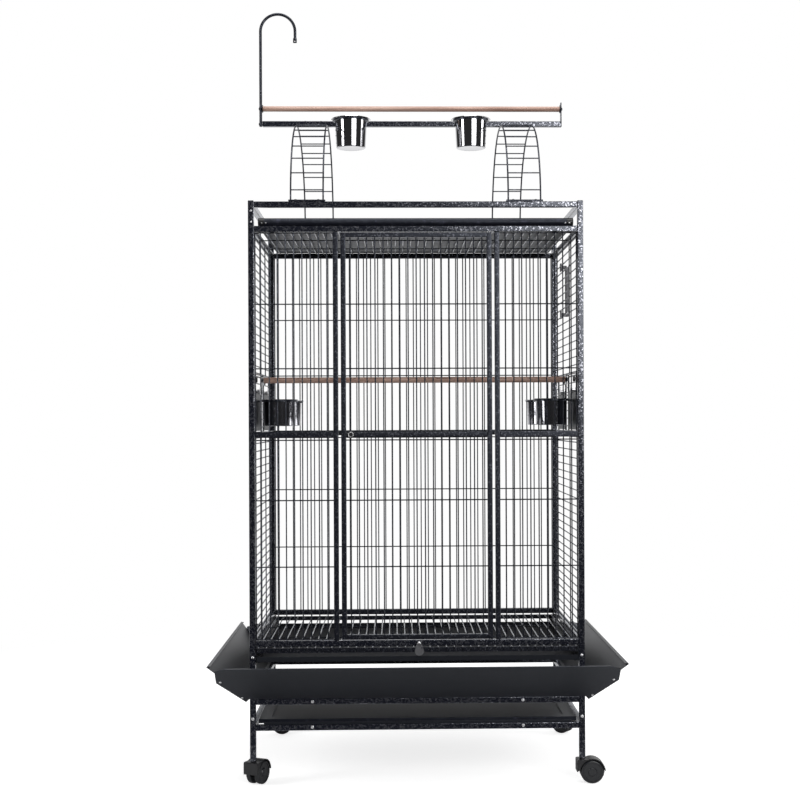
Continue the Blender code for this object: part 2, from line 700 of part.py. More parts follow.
def grate():
    """The walking grate: a flat-bar rim with wires over it, and a lug with the swivel tab's rivet."""
    half_x = POST_INNER_X - FIT - LEDGE_THICKNESS - SLIDE_GAP
    front = FRONT_FACE - SLIDE_GAP
    back = POST_INNER_Y - SLIDE_GAP
    top = GRATE_BASE + GRATE_BAR_HEIGHT
    rim = combined(
        boxes(((-half_x, front, GRATE_BASE), (half_x, back, top))),
        "DIFFERENCE",
        boxes(
            (
                (-half_x + GRATE_BAR_DEPTH, front + GRATE_BAR_DEPTH, GRATE_BASE - THROUGH),
                (half_x - GRATE_BAR_DEPTH, back - GRATE_BAR_DEPTH, top + THROUGH),
            )
        ),
    )
    wires = bmesh.new()
    count = int((2 * half_x - WIRE) / GRATE_PITCH) + 1
    for i in range(count):
        x = (i - (count - 1) / 2) * GRATE_PITCH
        box(
            wires,
            (x - WIRE / 2, front + GRATE_BAR_DEPTH - 3 * WELD, top - WIRE / 2),
            (x + WIRE / 2, back - GRATE_BAR_DEPTH + 3 * WELD, top + WIRE / 2),
        )
    cross_top = top - WIRE / 2 - FIT
    for share in GRATE_SUPPORTS:
        y = front + share * (back - front)
        reach = half_x - GRATE_BAR_DEPTH + WELD
        box(wires, (-reach, y - WIRE / 2, cross_top - WIRE), (reach, y + WIRE / 2, cross_top))
    lug = boxes(
        (
            (TAB_X - LUG_WIDTH / 2, front - LUG_THICKNESS, GRATE_BASE + THROUGH),
            (TAB_X + LUG_WIDTH / 2, front + WELD / 2, GRATE_BASE + TAB_PIVOT_RISE + LUG_WIDTH / 2),
        )
    )
    tab_back = front - LUG_THICKNESS
    profile = [
        (0, -WELD),
        (TAB_SCREW_RADIUS, -WELD),
        (TAB_SCREW_RADIUS, TAB_THICKNESS + 2 * FIT),
        (TAB_HEAD_RADIUS, TAB_THICKNESS + 2 * FIT),
        (TAB_HEAD_RADIUS * 0.7, TAB_THICKNESS + 2 * FIT + TAB_SCREW_RADIUS),
        (0, TAB_THICKNESS + 2 * FIT + TAB_SCREW_RADIUS),
    ]
    rivet = turned(profile, ROUND_SIDES)
    place = Matrix.Translation((TAB_X, tab_back, GRATE_BASE + TAB_PIVOT_RISE))
    bmesh.ops.transform(rivet, matrix=place @ Matrix.Rotation(pi / 2, 4, "X"), verts=rivet.verts)
    return node("walking_grate", welded(rim, wires, lug, rivet), HAMMERTONE, (0, front, GRATE_BASE))


def swivel_tab(carrier):
    """The pear-shaped finger tab that turns on the rivet of the grate's lug."""
    front = FRONT_FACE - SLIDE_GAP - LUG_THICKNESS - FIT
    pivot_z = GRATE_BASE + TAB_PIVOT_RISE
    belly_z = pivot_z - TAB_DROP + TAB_BELLY
    outline = []
    for i in range(7):
        angle = pi * i / 6
        outline.append((TAB_NECK * cos(angle), TAB_NECK * sin(angle)))
    for i in range(9):
        angle = pi + pi * i / 8
        outline.append((TAB_BELLY * cos(angle), belly_z - pivot_z + TAB_BELLY * sin(angle)))
    outline = [(TAB_X + x, pivot_z + z) for x, z in outline]
    hole = rod(
        TAB_SCREW_RADIUS + FIT,
        ROUND_SIDES,
        (TAB_X, front - TAB_THICKNESS - THROUGH, pivot_z),
        (TAB_X, front + THROUGH, pivot_z),
    )
    tab = combined(prism(outline, "Y", front - TAB_THICKNESS, front), "DIFFERENCE", hole)
    node("swivel_tab", tab, GREY, (TAB_X, front, pivot_z), carrier)


def play_tray():
    """The tray over the wire roof, with a rolled front edge."""
    base = HEADER_TOP + FIT
    half_x = POST_INNER_X - PLAY_TRAY_SIDE_GAP
    roll_y = FRONT_FACE + PLAY_TRAY_ROLL + WELD
    tray = pan(half_x, roll_y, POST_INNER_Y - SLIDE_GAP, base, PLAY_TRAY_HEIGHT, SHEET)
    roll_z = base + PLAY_TRAY_ROLL
    roll = rod(PLAY_TRAY_ROLL, ROUND_SIDES, (-half_x, roll_y, roll_z), (half_x, roll_y, roll_z))
    return node("play_tray", welded(tray, roll), SATIN, (0, FRONT_FACE, base))


def door():
    """The front door, its two hinge pins and its turning latch."""
    stand = pivot("door_hinge", (HINGE_X, HINGE_Y, DOOR_BASE))
    inner = DOOR_HALF - STILE
    stiles = bmesh.new()
    for low in (-DOOR_HALF, inner):
        box(stiles, (low, DOOR_FRONT, DOOR_BASE), (low + STILE, DOOR_BACK, DOOR_TOP))
    bores = bmesh.new()
    for low in (-DOOR_HALF, inner):
        box(
            bores,
            (low + TUBE_WALL, DOOR_FRONT + TUBE_WALL, DOOR_BASE - THROUGH),
            (low + STILE - TUBE_WALL, DOOR_BACK - TUBE_WALL, DOOR_TOP + THROUGH),
        )
    stiles = combined(stiles, "DIFFERENCE", bores)
    reach = inner + WELD
    rails = bmesh.new()
    for base in (DOOR_BASE, MID_RAIL_CENTRE - STILE / 2, DOOR_TOP - STILE):
        box(rails, (-reach, DOOR_FRONT, base), (reach, DOOR_BACK, base + STILE))
    for z in CROSS_WIRE_HEIGHTS:
        box(rails, (-reach, CROSS_FRONT, z - WIRE / 2), (reach, CROSS_BACK, z + WIRE / 2))
    bars = bmesh.new()
    for x in spread(-inner, inner, WIRE_PITCH):
        box(
            bars,
            (x - WIRE / 2, BAR_FRONT, DOOR_BASE + STILE - WELD),
            (x + WIRE / 2, BAR_BACK, DOOR_TOP - STILE + WELD),
        )
    knob_x = -DOOR_HALF + KNOB_INSET
    hole = rod(
        LATCH_SHAFT_RADIUS + FIT,
        ROUND_SIDES,
        (knob_x, DOOR_FRONT - THROUGH, MID_RAIL_CENTRE),
        (knob_x, DOOR_BACK + THROUGH, MID_RAIL_CENTRE),
    )
    leaf = combined(welded(stiles, rails, bars), "DIFFERENCE", hole)
    node("front_door", leaf, HAMMERTONE, (HINGE_X, HINGE_Y, DOOR_BASE), stand)
    door_latch(knob_x, stand)
    hinge_pins()


def hinge_pins():
    """A flanged pin in each end of the hinge stile, standing on the sill and hanging from the header."""
    radius = STILE / 2 - TUBE_WALL - FIT
    flange = DOOR_END_GAP - 2 * FIT
    profile = [
        (0, 0),
        (STILE / 2, 0),
        (STILE / 2, flange),
        (radius, flange),
        (radius, flange + HINGE_PIN_LENGTH),
        (0, flange + HINGE_PIN_LENGTH),
    ]
    ends = (("lower_hinge_pin", SILL_TOP + FIT, 0), ("upper_hinge_pin", HEADER_BASE - FIT, pi))
    for name, z, turn in ends:
        pin = turned(profile, ROUND_SIDES)
        place = Matrix.Translation((HINGE_X, HINGE_Y, z)) @ Matrix.Rotation(turn, 4, "X")
        bmesh.ops.transform(pin, matrix=place, verts=pin.verts)
        node(name, pin, STEEL, (HINGE_X, HINGE_Y, z), smooth=True)


def door_latch(x, parent):
    """A knob in front of the mid rail on a shaft, with a tongue behind the bars that turns with it."""
    face = DOOR_FRONT - FIT
    back = CROSS_BACK + 2 * FIT
    profile = [
        (0, 0),
        (KNOB_RADIUS * 0.8, 0),
        (KNOB_RADIUS, KNOB_THICKNESS * 0.3),
        (KNOB_RADIUS, KNOB_THICKNESS),
        (LATCH_SHAFT_RADIUS, KNOB_THICKNESS),
        (LATCH_SHAFT_RADIUS, KNOB_THICKNESS + back - face + WELD),
        (0, KNOB_THICKNESS + back - face + WELD),
    ]
    knob = turned(profile, ROUND_SIDES)
    move = Matrix.Translation((x, face - KNOB_THICKNESS, MID_RAIL_CENTRE))
    turn = move @ Matrix.Rotation(-pi / 2, 4, "X")
    bmesh.ops.transform(knob, matrix=turn, verts=knob.verts)
    tongue = boxes(
        (
            (x - TONGUE_WIDTH / 2, back, MID_RAIL_CENTRE - TONGUE_WIDTH / 2),
            (x + TONGUE_LENGTH, back + TONGUE_THICKNESS, MID_RAIL_CENTRE + TONGUE_WIDTH / 2),
        )
    )
    node("door_latch", welded(knob, tongue), PLASTIC, (x, face, MID_RAIL_CENTRE), parent)


def feeder_door(side, centre):
    """A small wire door that swings out of the side with the ring that holds a cup."""
    end = "front" if centre == FEEDER_CENTRES[0] else "rear"
    name = f"{side_name(side)}_{end}"
    low_y, high_y = centre - FEEDER_WIDTH / 2, centre + FEEDER_WIDTH / 2
    hinge_y = low_y + FEEDER_WIRE / 2
    wire_low, wire_high = span(side, SIDE_WIRE_X - FEEDER_WIRE / 2, SIDE_WIRE_X + FEEDER_WIRE / 2)
    stand = pivot(f"{name}_feeder_hinge", (side * SIDE_WIRE_X, hinge_y, FEEDER_BASE))
    low_z, high_z = FEEDER_BASE + FEEDER_GAP, FEEDER_TOP - FEEDER_GAP
    uprights = boxes(
        ((wire_low, low_y, FEEDER_BASE + FIT), (wire_high, low_y + FEEDER_WIRE, FEEDER_TOP - FIT)),
        ((wire_low, high_y - FEEDER_WIRE, low_z), (wire_high, high_y, high_z)),
    )
    rails = bmesh.new()
    inner_low, inner_high = low_y + FEEDER_WIRE - WELD, high_y - FEEDER_WIRE + WELD
    for z in (low_z, high_z - FEEDER_WIRE):
        box(rails, (wire_low, inner_low, z), (wire_high, inner_high, z + FEEDER_WIRE))
    thin_low, thin_high = span(side, SIDE_WIRE_X - WIRE / 2, SIDE_WIRE_X + WIRE / 2)
    for z in spread(low_z + FEEDER_WIRE, high_z - FEEDER_WIRE, WIRE_PITCH):
        box(rails, (thin_low, inner_low, z - WIRE / 2), (thin_high, inner_high, z + WIRE / 2))
    ring_top = CUP_RIM_HEIGHT - CUP_RIM - FIT
    ring_low = ring_top - RING_HEIGHT
    ring_inner = CUP_RADIUS + FIT
    cup_x = side * (SIDE_WIRE_X - CUP_INSET)
    ring = cup_ring(cup_x, centre, ring_inner, ring_low, ring_top)
    slant = (ring_inner + RING_WIDTH / 2) * sin(pi / 4)
    arm_low, arm_high = span(side, SIDE_WIRE_X - CUP_INSET + slant, SIDE_WIRE_X)
    arms = bmesh.new()
    for arm_y in (centre - slant, centre + slant):
        low, high = arm_y - RING_WIDTH / 2, arm_y + RING_WIDTH / 2
        box(arms, (arm_low, low, ring_low + WELD), (arm_high, high, ring_top - WELD))
    bar = boxes(((wire_low, inner_low, ring_low), (wire_high, inner_high, ring_top)))
    catch_side = side * (SIDE_WIRE_X + FEEDER_WIRE / 2 - WELD)
    catch_out = side * (SIDE_WIRE_X + FEEDER_WIRE / 2 + CATCH_DEPTH)
    catch_z = high_z - CATCH_RADIUS - FEEDER_WIRE / 4
    catch = rod(
        CATCH_RADIUS, ROUND_SIDES, (catch_side, centre, catch_z), (catch_out, centre, catch_z)
    )
    leaf = welded(uprights, rails, bar, arms, ring, catch)
    node(f"{name}_feeder_door", leaf, HAMMERTONE, stand.location, stand)
    cup = food_cup(CUP_RIM_RADIUS, CUP_RADIUS, CUP_BASE_RADIUS, CUP_DEPTH)
    bmesh.ops.translate(cup, vec=(cup_x, centre, CUP_RIM_HEIGHT), verts=cup.verts)
    node(f"{name}_cup", cup, STEEL, (cup_x, centre, CUP_RIM_HEIGHT), stand, smooth=True)


def ring_bore(x, y, radius, low_z, high_z):
    return rod(radius, CUP_SIDES, (x, y, low_z - THROUGH), (x, y, high_z + THROUGH))


def cup_ring(x, y, inner, low_z, high_z):
    """The flat ring under the rim of a cup."""
    outer = rod(inner + RING_WIDTH, CUP_SIDES, (x, y, low_z), (x, y, high_z))
    return combined(outer, "DIFFERENCE", ring_bore(x, y, inner, low_z, high_z))


def food_cup(rim_radius, radius, base_radius, depth):
    """A steel cup, turned about its own axis, with its rim at height zero."""
    profile = [
        (0, -depth),
        (base_radius, -depth),
        (radius, -CUP_RIM),
        (rim_radius, -CUP_RIM),
        (rim_radius, 0),
        (radius - CUP_WALL, 0),
        (base_radius - CUP_WALL, -depth + CUP_WALL),
        (0, -depth + CUP_WALL),
    ]
    return turned(profile, CUP_SIDES)


def apron_reach(body_half, z, behind=0.0):
    """How far from the middle an apron's sheet stands at a height, or a sheet lying behind it."""
    return body_half + FIT + SHEET / 2 + (z - GUARD_BASE) * GUARD_SLOPE - behind / GUARD_COS


def seed_guards():
    """Four sheet-metal aprons that lean out from the stand rails and catch seed."""
    corner_low = apron_reach(HALF_WIDTH, GUARD_BASE)
    corner_high = apron_reach(HALF_WIDTH, GUARD_TOP)
    middle = (GUARD_BASE + GUARD_TOP) / 2 + GUARD_EAR / 4
    tip = corner_high - GUARD_CORNER_CUT / 2
    top_x = corner_high - 1.6 * GUARD_CORNER_CUT
    half = [
        (corner_low + FIT, GUARD_BASE),
        (corner_low + GUARD_EAR / 2, GUARD_BASE - GUARD_EAR / 2),
        (tip, middle),
        (tip, GUARD_TOP - GUARD_CORNER_CUT / 3),
        (top_x, GUARD_TOP),
    ]
    outline = half + [(-x, z) for x, z in reversed(half)]
    lip_y = -apron_reach(HALF_DEPTH, GUARD_TOP)
    foot_z = STAND_RAIL_TOP + FIT
    for name, turn in (("front_guard", 0), ("rear_guard", pi)):
        panel = sheet([(x, -apron_reach(HALF_DEPTH, z), z) for x, z in outline], SHEET)
        lip = boxes(((-top_x, lip_y, GUARD_TOP - SHEET), (top_x, lip_y + GUARD_LIP, GUARD_TOP)))
        foot = boxes(
            (
                (-POST_INNER_X, -HALF_DEPTH - FIT - SHEET, foot_z),
                (POST_INNER_X, -HALF_DEPTH + TUBE / 2, foot_z + SHEET),
            )
        )
        guard = welded(panel, lip, foot)
        bmesh.ops.rotate(guard, verts=guard.verts, matrix=Matrix.Rotation(turn, 3, "Z"))
        node(name, guard, SATIN)
    side_guard(-1)
    side_guard(1)


def side_guard(side):
    """A side apron whose end flanges lie behind the ears of the front and rear aprons."""
    behind = SHEET + FIT
    end = behind + 0.3 * SHEET
    corners = []
    for z, direction in ((GUARD_BASE, -1), (GUARD_SIDE_TOP, -1), (GUARD_SIDE_TOP, 1), (GUARD_BASE, 1)):
        x, y = apron_reach(HALF_WIDTH, z), apron_reach(HALF_DEPTH, z, end)
        corners.append((side * x, direction * y, z))
    panel = sheet(corners, SHEET)
    top_x = apron_reach(HALF_WIDTH, GUARD_SIDE_TOP)
    lip_low, lip_high = span(side, top_x - GUARD_LIP, top_x)
    lip_y = apron_reach(HALF_DEPTH, GUARD_SIDE_TOP, end) - GUARD_LIP
    lip = boxes(((lip_low, -lip_y, GUARD_SIDE_TOP - SHEET), (lip_high, lip_y, GUARD_SIDE_TOP)))
    flange_top = GUARD_TOP - GUARD_CORNER_CUT
    flanges = []
    for direction in (-1, 1):
        points = []
        for z, out in (
            (GUARD_BASE, -FIT),
            (GUARD_BASE, GUARD_EAR / 3),
            (flange_top, GUARD_EAR / 3),
            (flange_top, -FIT),
        ):
            x, y = apron_reach(HALF_WIDTH, z), apron_reach(HALF_DEPTH, z, behind)
            points.append((side * (x + out), direction * y, z))
        flanges.append(sheet(points, SHEET))
    foot_low, foot_high = span(side, HALF_WIDTH - TUBE / 2, HALF_WIDTH + FIT + SHEET)
    foot_z, foot_y = STAND_RAIL_TOP + FIT, POST_INNER_Y - 2 * TUBE
    foot = boxes(((foot_low, -foot_y, foot_z), (foot_high, foot_y, foot_z + SHEET)))
    node(f"{side_name(side)}_guard", welded(panel, lip, foot, *flanges), SATIN)


def caster(name, x, y, turn):
    """A twin-wheel caster: a hood on a stem that turns in the leg, and two wheels on one axle."""
    swivel = pivot(f"{name}_swivel", (x, y, LEG_FOOT))
    axle = Vector((CASTER_TRAIL, 0, WHEEL_RADIUS))
    spin = Matrix.Translation((x, y, 0)) @ Matrix.Rotation(radians(turn), 4, "Z")
    inner = WHEEL_RADIUS / cos(pi / WHEEL_SIDES) + HOOD_GAP
    outer = inner + HOOD_WALL
    across = CASTER_WEB / 2 + 2 * FIT + WHEEL_WIDTH
    front_x = -TUBE
    cap = LEG_FOOT - LEG_CLEARANCE
    last = pi - asin(min(1, (cap - WHEEL_RADIUS) / outer))
    outline = []
    for i in range(10):
        angle = radians(5) + (last - radians(5)) * i / 9
        outline.append((axle.x + outer * cos(angle), axle.z + outer * sin(angle)))
    outline += [(front_x + HOOD_WALL, cap), (front_x, cap - HOOD_WALL), (front_x, axle.z)]
    for i in range(8):
        angle = radians(170 - 165 * i / 7)
        outline.append((axle.x + inner * cos(angle), axle.z + inner * sin(angle)))
    fender = prism(outline, "Y", -across, across)
    web_outline = []
    for i in range(13):
        angle = radians(-40 + 220 * i / 12)
        web_outline.append((axle.x + (inner + WELD) * cos(angle), axle.z + (inner + WELD) * sin(angle)))
    web = prism(web_outline, "Y", -CASTER_WEB / 2, CASTER_WEB / 2)
    stem = rod(
        TUBE / 2 - TUBE_WALL - FIT,
        ROUND_SIDES,
        (0, 0, cap - HOOD_WALL / 2),
        (0, 0, LEG_FOOT + STEM_LENGTH),
    )
    bore = rod(
        AXLE_RADIUS + FIT,
        ROUND_SIDES,
        (axle.x, -across, axle.z),
        (axle.x, across, axle.z),
    )
    hood = combined(welded(fender, web, stem), "DIFFERENCE", bore)
    bmesh.ops.transform(hood, matrix=spin, verts=hood.verts)
    node(f"{name}_hood", hood, PLASTIC, swivel.location, swivel)
    rim = WHEEL_RADIUS / cos(pi / WHEEL_SIDES)
    near = CASTER_WEB / 2 + FIT
    far = near + WHEEL_WIDTH
    edge = [(rim, far - WHEEL_CHAMFER), (rim - WHEEL_CHAMFER, far), (0, far)]
    half = [(AXLE_RADIUS, near), (rim, near)] + edge
    profile = [(r, -z) for r, z in reversed(half)] + half
    wheels = turned(profile, WHEEL_SIDES, pi / WHEEL_SIDES)
    flat = Matrix.Rotation(pi / 2, 4, "X") @ Matrix.Rotation(pi / 2, 4, "Z")
    lay = spin @ Matrix.Translation(axle) @ flat
    bmesh.ops.transform(wheels, matrix=lay, verts=wheels.verts)
    hub = pivot(f"{name}_axle", spin @ axle, swivel)
    made = node(f"{name}_wheels", wheels, PLASTIC, spin @ axle, swivel, smooth=True)
    made.parent = hub
    made.location = (0, 0, 0)


def ladder(side):
    """An arched wire ladder from the front crown rail over to the rear one."""
    x = side * LADDER_X
    foot_z = CROWN_TOP + FIT
    start_z = foot_z + FOOT_THICKNESS
    reach = HALF_DEPTH - TUBE / 2
    rails = bmesh.new()
    path = []
    for i in range(LADDER_STEPS + 1):
        angle = pi * i / LADDER_STEPS
        path.append((0, -reach * cos(angle), start_z - WELD + LADDER_RISE * sin(angle)))
    for direction in (-1, 1):
        rail = swept(path, LADDER_WIRE / 2 * 2**0.5, 4, (1, 0, 0))
        bmesh.ops.translate(rail, vec=(x + direction * LADDER_WIDTH / 2, 0, 0), verts=rail.verts)
        mesh = bpy.data.meshes.new("rail")
        rail.to_mesh(mesh)
        rail.free()
        rails.from_mesh(mesh)
        bpy.data.meshes.remove(mesh)
    feet = bmesh.new()
    for direction in (-1, 1):
        y = direction * reach
        box(
            feet,
            (x - FOOT_PLATE / 2, y - TUBE / 2, foot_z),
            (x + FOOT_PLATE / 2, y + TUBE / 2, foot_z + FOOT_THICKNESS),
        )
    half_rung = LADDER_WIDTH / 2
    steps = bmesh.new()
    for place in rung_places(reach, LADDER_RISE):
        y, z = place
        box(
            steps,
            (x - half_rung, y - WIRE / 2, start_z + z - WIRE / 2),
            (x + half_rung, y + WIRE / 2, start_z + z + WIRE / 2),
        )
    node(f"{side_name(side)}_ladder", welded(rails, feet, steps), HAMMERTONE)


def rung_places(half_span, rise):
    """Places along half an ellipse at equal steps of its length, the same from both feet."""
    fine = 400
    points = [
        (-half_span * cos(pi / 2 * i / fine), rise * sin(pi / 2 * i / fine)) for i in range(fine + 1)
    ]
    places, travelled, wanted = [], 0.0, FIRST_RUNG
    for (y0, z0), (y1, z1) in zip(points, points[1:]):
        travelled += hypot(y1 - y0, z1 - z0)
        if travelled >= wanted:
            places += [(y1, z1), (-y1, z1)]
            wanted += RUNG_PITCH
    return [(y, z) for y, z in places if abs(y) > RUNG_PITCH / 3]


def play_stand():
    """The beam on top of the ladders with its upright end plate, the perch and the hook post."""
    half = TUBE / 2
    plate_x = BEAM_RIGHT
    tube = hollow_tube((BEAM_LEFT, -half, BEAM_BASE), (plate_x + WELD, half, BEAM_TOP), "X")
    plate = boxes(((plate_x, -half, BEAM_BASE), (plate_x + END_PLATE, half, BEAM_TOP + END_PLATE_RISE)))
    node("play_beam", welded(tube, plate), HAMMERTONE)
    perch_left = HOOK_X + HOOK_TUBE + FIT
    perch = rod(
        PLAY_PERCH_RADIUS,
        PERCH_SIDES,
        (perch_left, 0, PLAY_PERCH_Z),
        (plate_x - FIT, 0, PLAY_PERCH_Z),
    )
    node("play_perch", perch, WOOD, (0, 0, PLAY_PERCH_Z), smooth=True)
    arc_z = BEAM_TOP + HOOK_POST_RISE
    path = [(HOOK_X, 0, BEAM_BASE), (HOOK_X, 0, arc_z)]
    for i in range(1, HOOK_STEPS + 1):
        angle = pi - pi * i / HOOK_STEPS
        path.append((HOOK_X + HOOK_RADIUS + HOOK_RADIUS * cos(angle), 0, arc_z + HOOK_RADIUS * sin(angle)))
    path.append((HOOK_X + 2 * HOOK_RADIUS, 0, arc_z - HOOK_TIP))
    post = swept(path, HOOK_TUBE, 8, (0, 1, 0))
    node("hook_post", post, HAMMERTONE, (HOOK_X, 0, BEAM_BASE), smooth=True)


def play_cup(number, x):
    """A large cup beside the beam in a ring that is clamped over it."""
    rim_z = BEAM_TOP - PLAY_CUP_SINK
    ring_top = rim_z - CUP_RIM - FIT
    ring_low = ring_top - RING_HEIGHT
    inner = PLAY_CUP_RADIUS + FIT
    y = -(TUBE / 2 + CLAMP_WALL + 2 * FIT + PLAY_CUP_RIM_RADIUS)
    front = -TUBE / 2 - FIT
    back = TUBE / 2 + FIT
    top = BEAM_TOP + FIT
    bracket = prism(
        [
            (front - CLAMP_WALL, ring_low - CLAMP_WALL),
            (front - CLAMP_WALL, top + CLAMP_WALL),
            (back + CLAMP_WALL, top + CLAMP_WALL),
            (back + CLAMP_WALL, BEAM_BASE),
            (back, BEAM_BASE),
            (back, top),
            (front, top),
            (front, ring_low - CLAMP_WALL),
        ],
        "X",
        x - CLAMP_WIDTH / 2,
        x + CLAMP_WIDTH / 2,
    )
    ring = cup_ring(x, y, inner, ring_low, ring_top)
    arm = boxes(
        (
            (x - RING_WIDTH, y + inner + RING_WIDTH / 2, ring_low + WELD),
            (x + RING_WIDTH, front - CLAMP_WALL / 2, ring_top - WELD),
        )
    )
    cup_centre = (x, y, rim_z)
    node(f"play_cup_holder_{number}", welded(bracket, arm, ring), HAMMERTONE)
    cup = food_cup(PLAY_CUP_RIM_RADIUS, PLAY_CUP_RADIUS, PLAY_CUP_BASE_RADIUS, PLAY_CUP_DEPTH)
    bmesh.ops.translate(cup, vec=cup_centre, verts=cup.verts)
    node(f"play_cup_{number}", cup, STEEL, cup_centre, smooth=True)


def inner_perch():
    reach = SIDE_WIRE_X - FEEDER_WIRE / 2 - PERCH_PLATE_THICKNESS - FIT
    y = perch_middle()
    perch = rod(PERCH_RADIUS, PERCH_SIDES, (-reach, y, PERCH_HEIGHT), (reach, y, PERCH_HEIGHT))
    node("inner_perch", perch, WOOD, (0, y, PERCH_HEIGHT), smooth=True)


def side_handle():
    """The carrying handle bolted to the wires of the right side, nearer the back."""
    y = HANDLE_SHARE * BODY_DEPTH
    foot = SIDE_WIRE_OUT + FIT
    reach = foot + HANDLE_REACH
    half = HANDLE_BAR / 2
    top = HANDLE_BASE + HANDLE_LENGTH
    feet = bmesh.new()
    arms = bmesh.new()
    for low in (HANDLE_BASE, top - HANDLE_FOOT):
        middle = low + HANDLE_FOOT / 2
        plate_end = (foot + LEDGE_THICKNESS, y + HANDLE_FOOT / 2, low + HANDLE_FOOT)
        box(feet, (foot, y - HANDLE_FOOT / 2, low), plate_end)
        arm_end = (reach, y + half, middle + half)
        box(arms, (foot + LEDGE_THICKNESS - WELD, y - half, middle - half), arm_end)
    grip = boxes(
        (
            (reach - HANDLE_BAR, y - half * 1.2, HANDLE_BASE + HANDLE_FOOT / 2 - half),
            (reach + WELD, y + half * 1.2, top - HANDLE_FOOT / 2 + half),
        )
    )
    node("side_handle", welded(feet, arms, grip), GREY)


for half in (-1, 1):
    side_frame(half)
    side_grille(half, "lower", SILL_TOP, MID_RAIL_BASE)
    side_grille(half, "upper", FEEDER_TOP + FEEDER_WIRE, HEADER_BASE)
    front_grille(half)
    runner(half)
    for middle in FEEDER_CENTRES:
        feeder_door(half, middle)
    ladder(half)
rear_grille()
roof_grille()
cross_rails()
shelf()
door()
droppings_tray()
swivel_tab(grate())
play_tray()
seed_guards()
inner_perch()
play_stand()
for index, place_x in enumerate(PLAY_CUPS, 1):
    play_cup(index, place_x)
side_handle()
leg_x, leg_y = HALF_WIDTH - TUBE / 2, HALF_DEPTH - TUBE / 2
caster("front_left_caster", -leg_x, -leg_y, FRONT_LEFT_TURN)
caster("front_right_caster", leg_x, -leg_y, FRONT_RIGHT_TURN)
caster("rear_left_caster", -leg_x, leg_y, REAR_LEFT_TURN)
caster("rear_right_caster", leg_x, leg_y, REAR_RIGHT_TURN)
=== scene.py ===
# %% [markdown]
# # A play-top parrot cage
# The cage is a frame of square steel tube with welded wire grilles. This notebook dresses the plain
# construction model of it: every wire becomes round, every tube gets its rolled corners, small
# fasteners are added, and each finish is made from procedural textures.

# %% Load the construction model
import json
from math import cos, hypot, pi, radians, sin

import bpy
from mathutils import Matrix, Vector

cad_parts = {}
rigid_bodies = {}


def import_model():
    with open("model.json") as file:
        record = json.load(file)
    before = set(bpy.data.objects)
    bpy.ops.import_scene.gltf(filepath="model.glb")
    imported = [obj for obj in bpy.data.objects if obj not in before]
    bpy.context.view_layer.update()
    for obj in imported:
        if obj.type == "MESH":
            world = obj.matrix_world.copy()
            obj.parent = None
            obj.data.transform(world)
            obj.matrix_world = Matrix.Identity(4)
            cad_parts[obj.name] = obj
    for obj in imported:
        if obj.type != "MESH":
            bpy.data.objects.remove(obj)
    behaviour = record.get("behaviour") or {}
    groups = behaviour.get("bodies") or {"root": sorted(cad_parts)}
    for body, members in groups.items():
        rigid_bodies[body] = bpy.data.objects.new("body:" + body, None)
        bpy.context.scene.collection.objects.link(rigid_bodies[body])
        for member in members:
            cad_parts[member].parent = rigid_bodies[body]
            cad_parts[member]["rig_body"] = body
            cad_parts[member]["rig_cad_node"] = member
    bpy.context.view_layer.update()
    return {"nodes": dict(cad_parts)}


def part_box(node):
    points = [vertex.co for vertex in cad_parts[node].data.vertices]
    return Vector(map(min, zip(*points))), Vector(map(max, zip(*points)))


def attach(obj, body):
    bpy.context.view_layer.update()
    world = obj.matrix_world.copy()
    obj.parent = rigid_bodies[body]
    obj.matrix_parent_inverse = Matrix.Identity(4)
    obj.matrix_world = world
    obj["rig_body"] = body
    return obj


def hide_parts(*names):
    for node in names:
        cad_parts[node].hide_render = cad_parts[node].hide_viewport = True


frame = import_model()
print(len(frame["nodes"]), "construction pieces loaded")

# %% [markdown]
# The photograph was taken with a level camera a little below the middle of the cage. A level camera
# keeps the posts upright, so the cage is brought to its place in the picture with the lens shift and
# not by tilting. The cage was turned a degree or so, which is why the camera has a small turn.

# %% Camera
CAMERA_PLACE = (-0.052, -3.6875, 0.867)
CAMERA_TURN = -1.39
CAMERA_ROLL = 0.24
SENSOR = 36
FOCAL_PIXELS = 1426
PICTURE = 800
CENTRE_PIXELS = (429.6, 420.9)
camera_facing = (pi / 2, radians(CAMERA_ROLL), radians(CAMERA_TURN))
bpy.ops.object.camera_add(location=CAMERA_PLACE, rotation=camera_facing)
camera = bpy.context.object
camera.data.sensor_width = SENSOR
camera.data.lens = SENSOR * FOCAL_PIXELS / PICTURE
camera.data.shift_x = (PICTURE / 2 - CENTRE_PIXELS[0]) / PICTURE
camera.data.shift_y = (CENTRE_PIXELS[1] - PICTURE / 2) / PICTURE
scene = bpy.context.scene
scene.camera = camera
print("lens", round(camera.data.lens, 2), "mm")

# %% [markdown]
# The light and the finishes are made of shader nodes. These helpers add a node, set its sockets or
# link them to other nodes, and build the two small steps that come up most.


def feed(tree, node, values):
    """Sets input sockets to values, or links them where a value is a socket of another node."""
    for socket, value in values.items():
        if isinstance(value, bpy.types.NodeSocket):
            tree.links.new(value, node.inputs[socket])
        else:
            node.inputs[socket].default_value = value
    return node


def add_node(tree, kind, values=None, **settings):
    """A new node with its own settings and its sockets fed."""
    node = tree.nodes.new(kind)
    for key, setting in settings.items():
        setattr(node, key, setting)
    return feed(tree, node, values or {})


def maths(tree, operation, *values):
    """The result of a Math node."""
    return add_node(tree, "ShaderNodeMath", dict(enumerate(values)), operation=operation).outputs[0]


def faded(tree, value, start, end):
    """A smooth step from 0 to 1 between two values."""
    ends = {"Value": value, "From Min": start, "From Max": end}
    return add_node(tree, "ShaderNodeMapRange", ends, interpolation_type="SMOOTHSTEP").outputs[0]


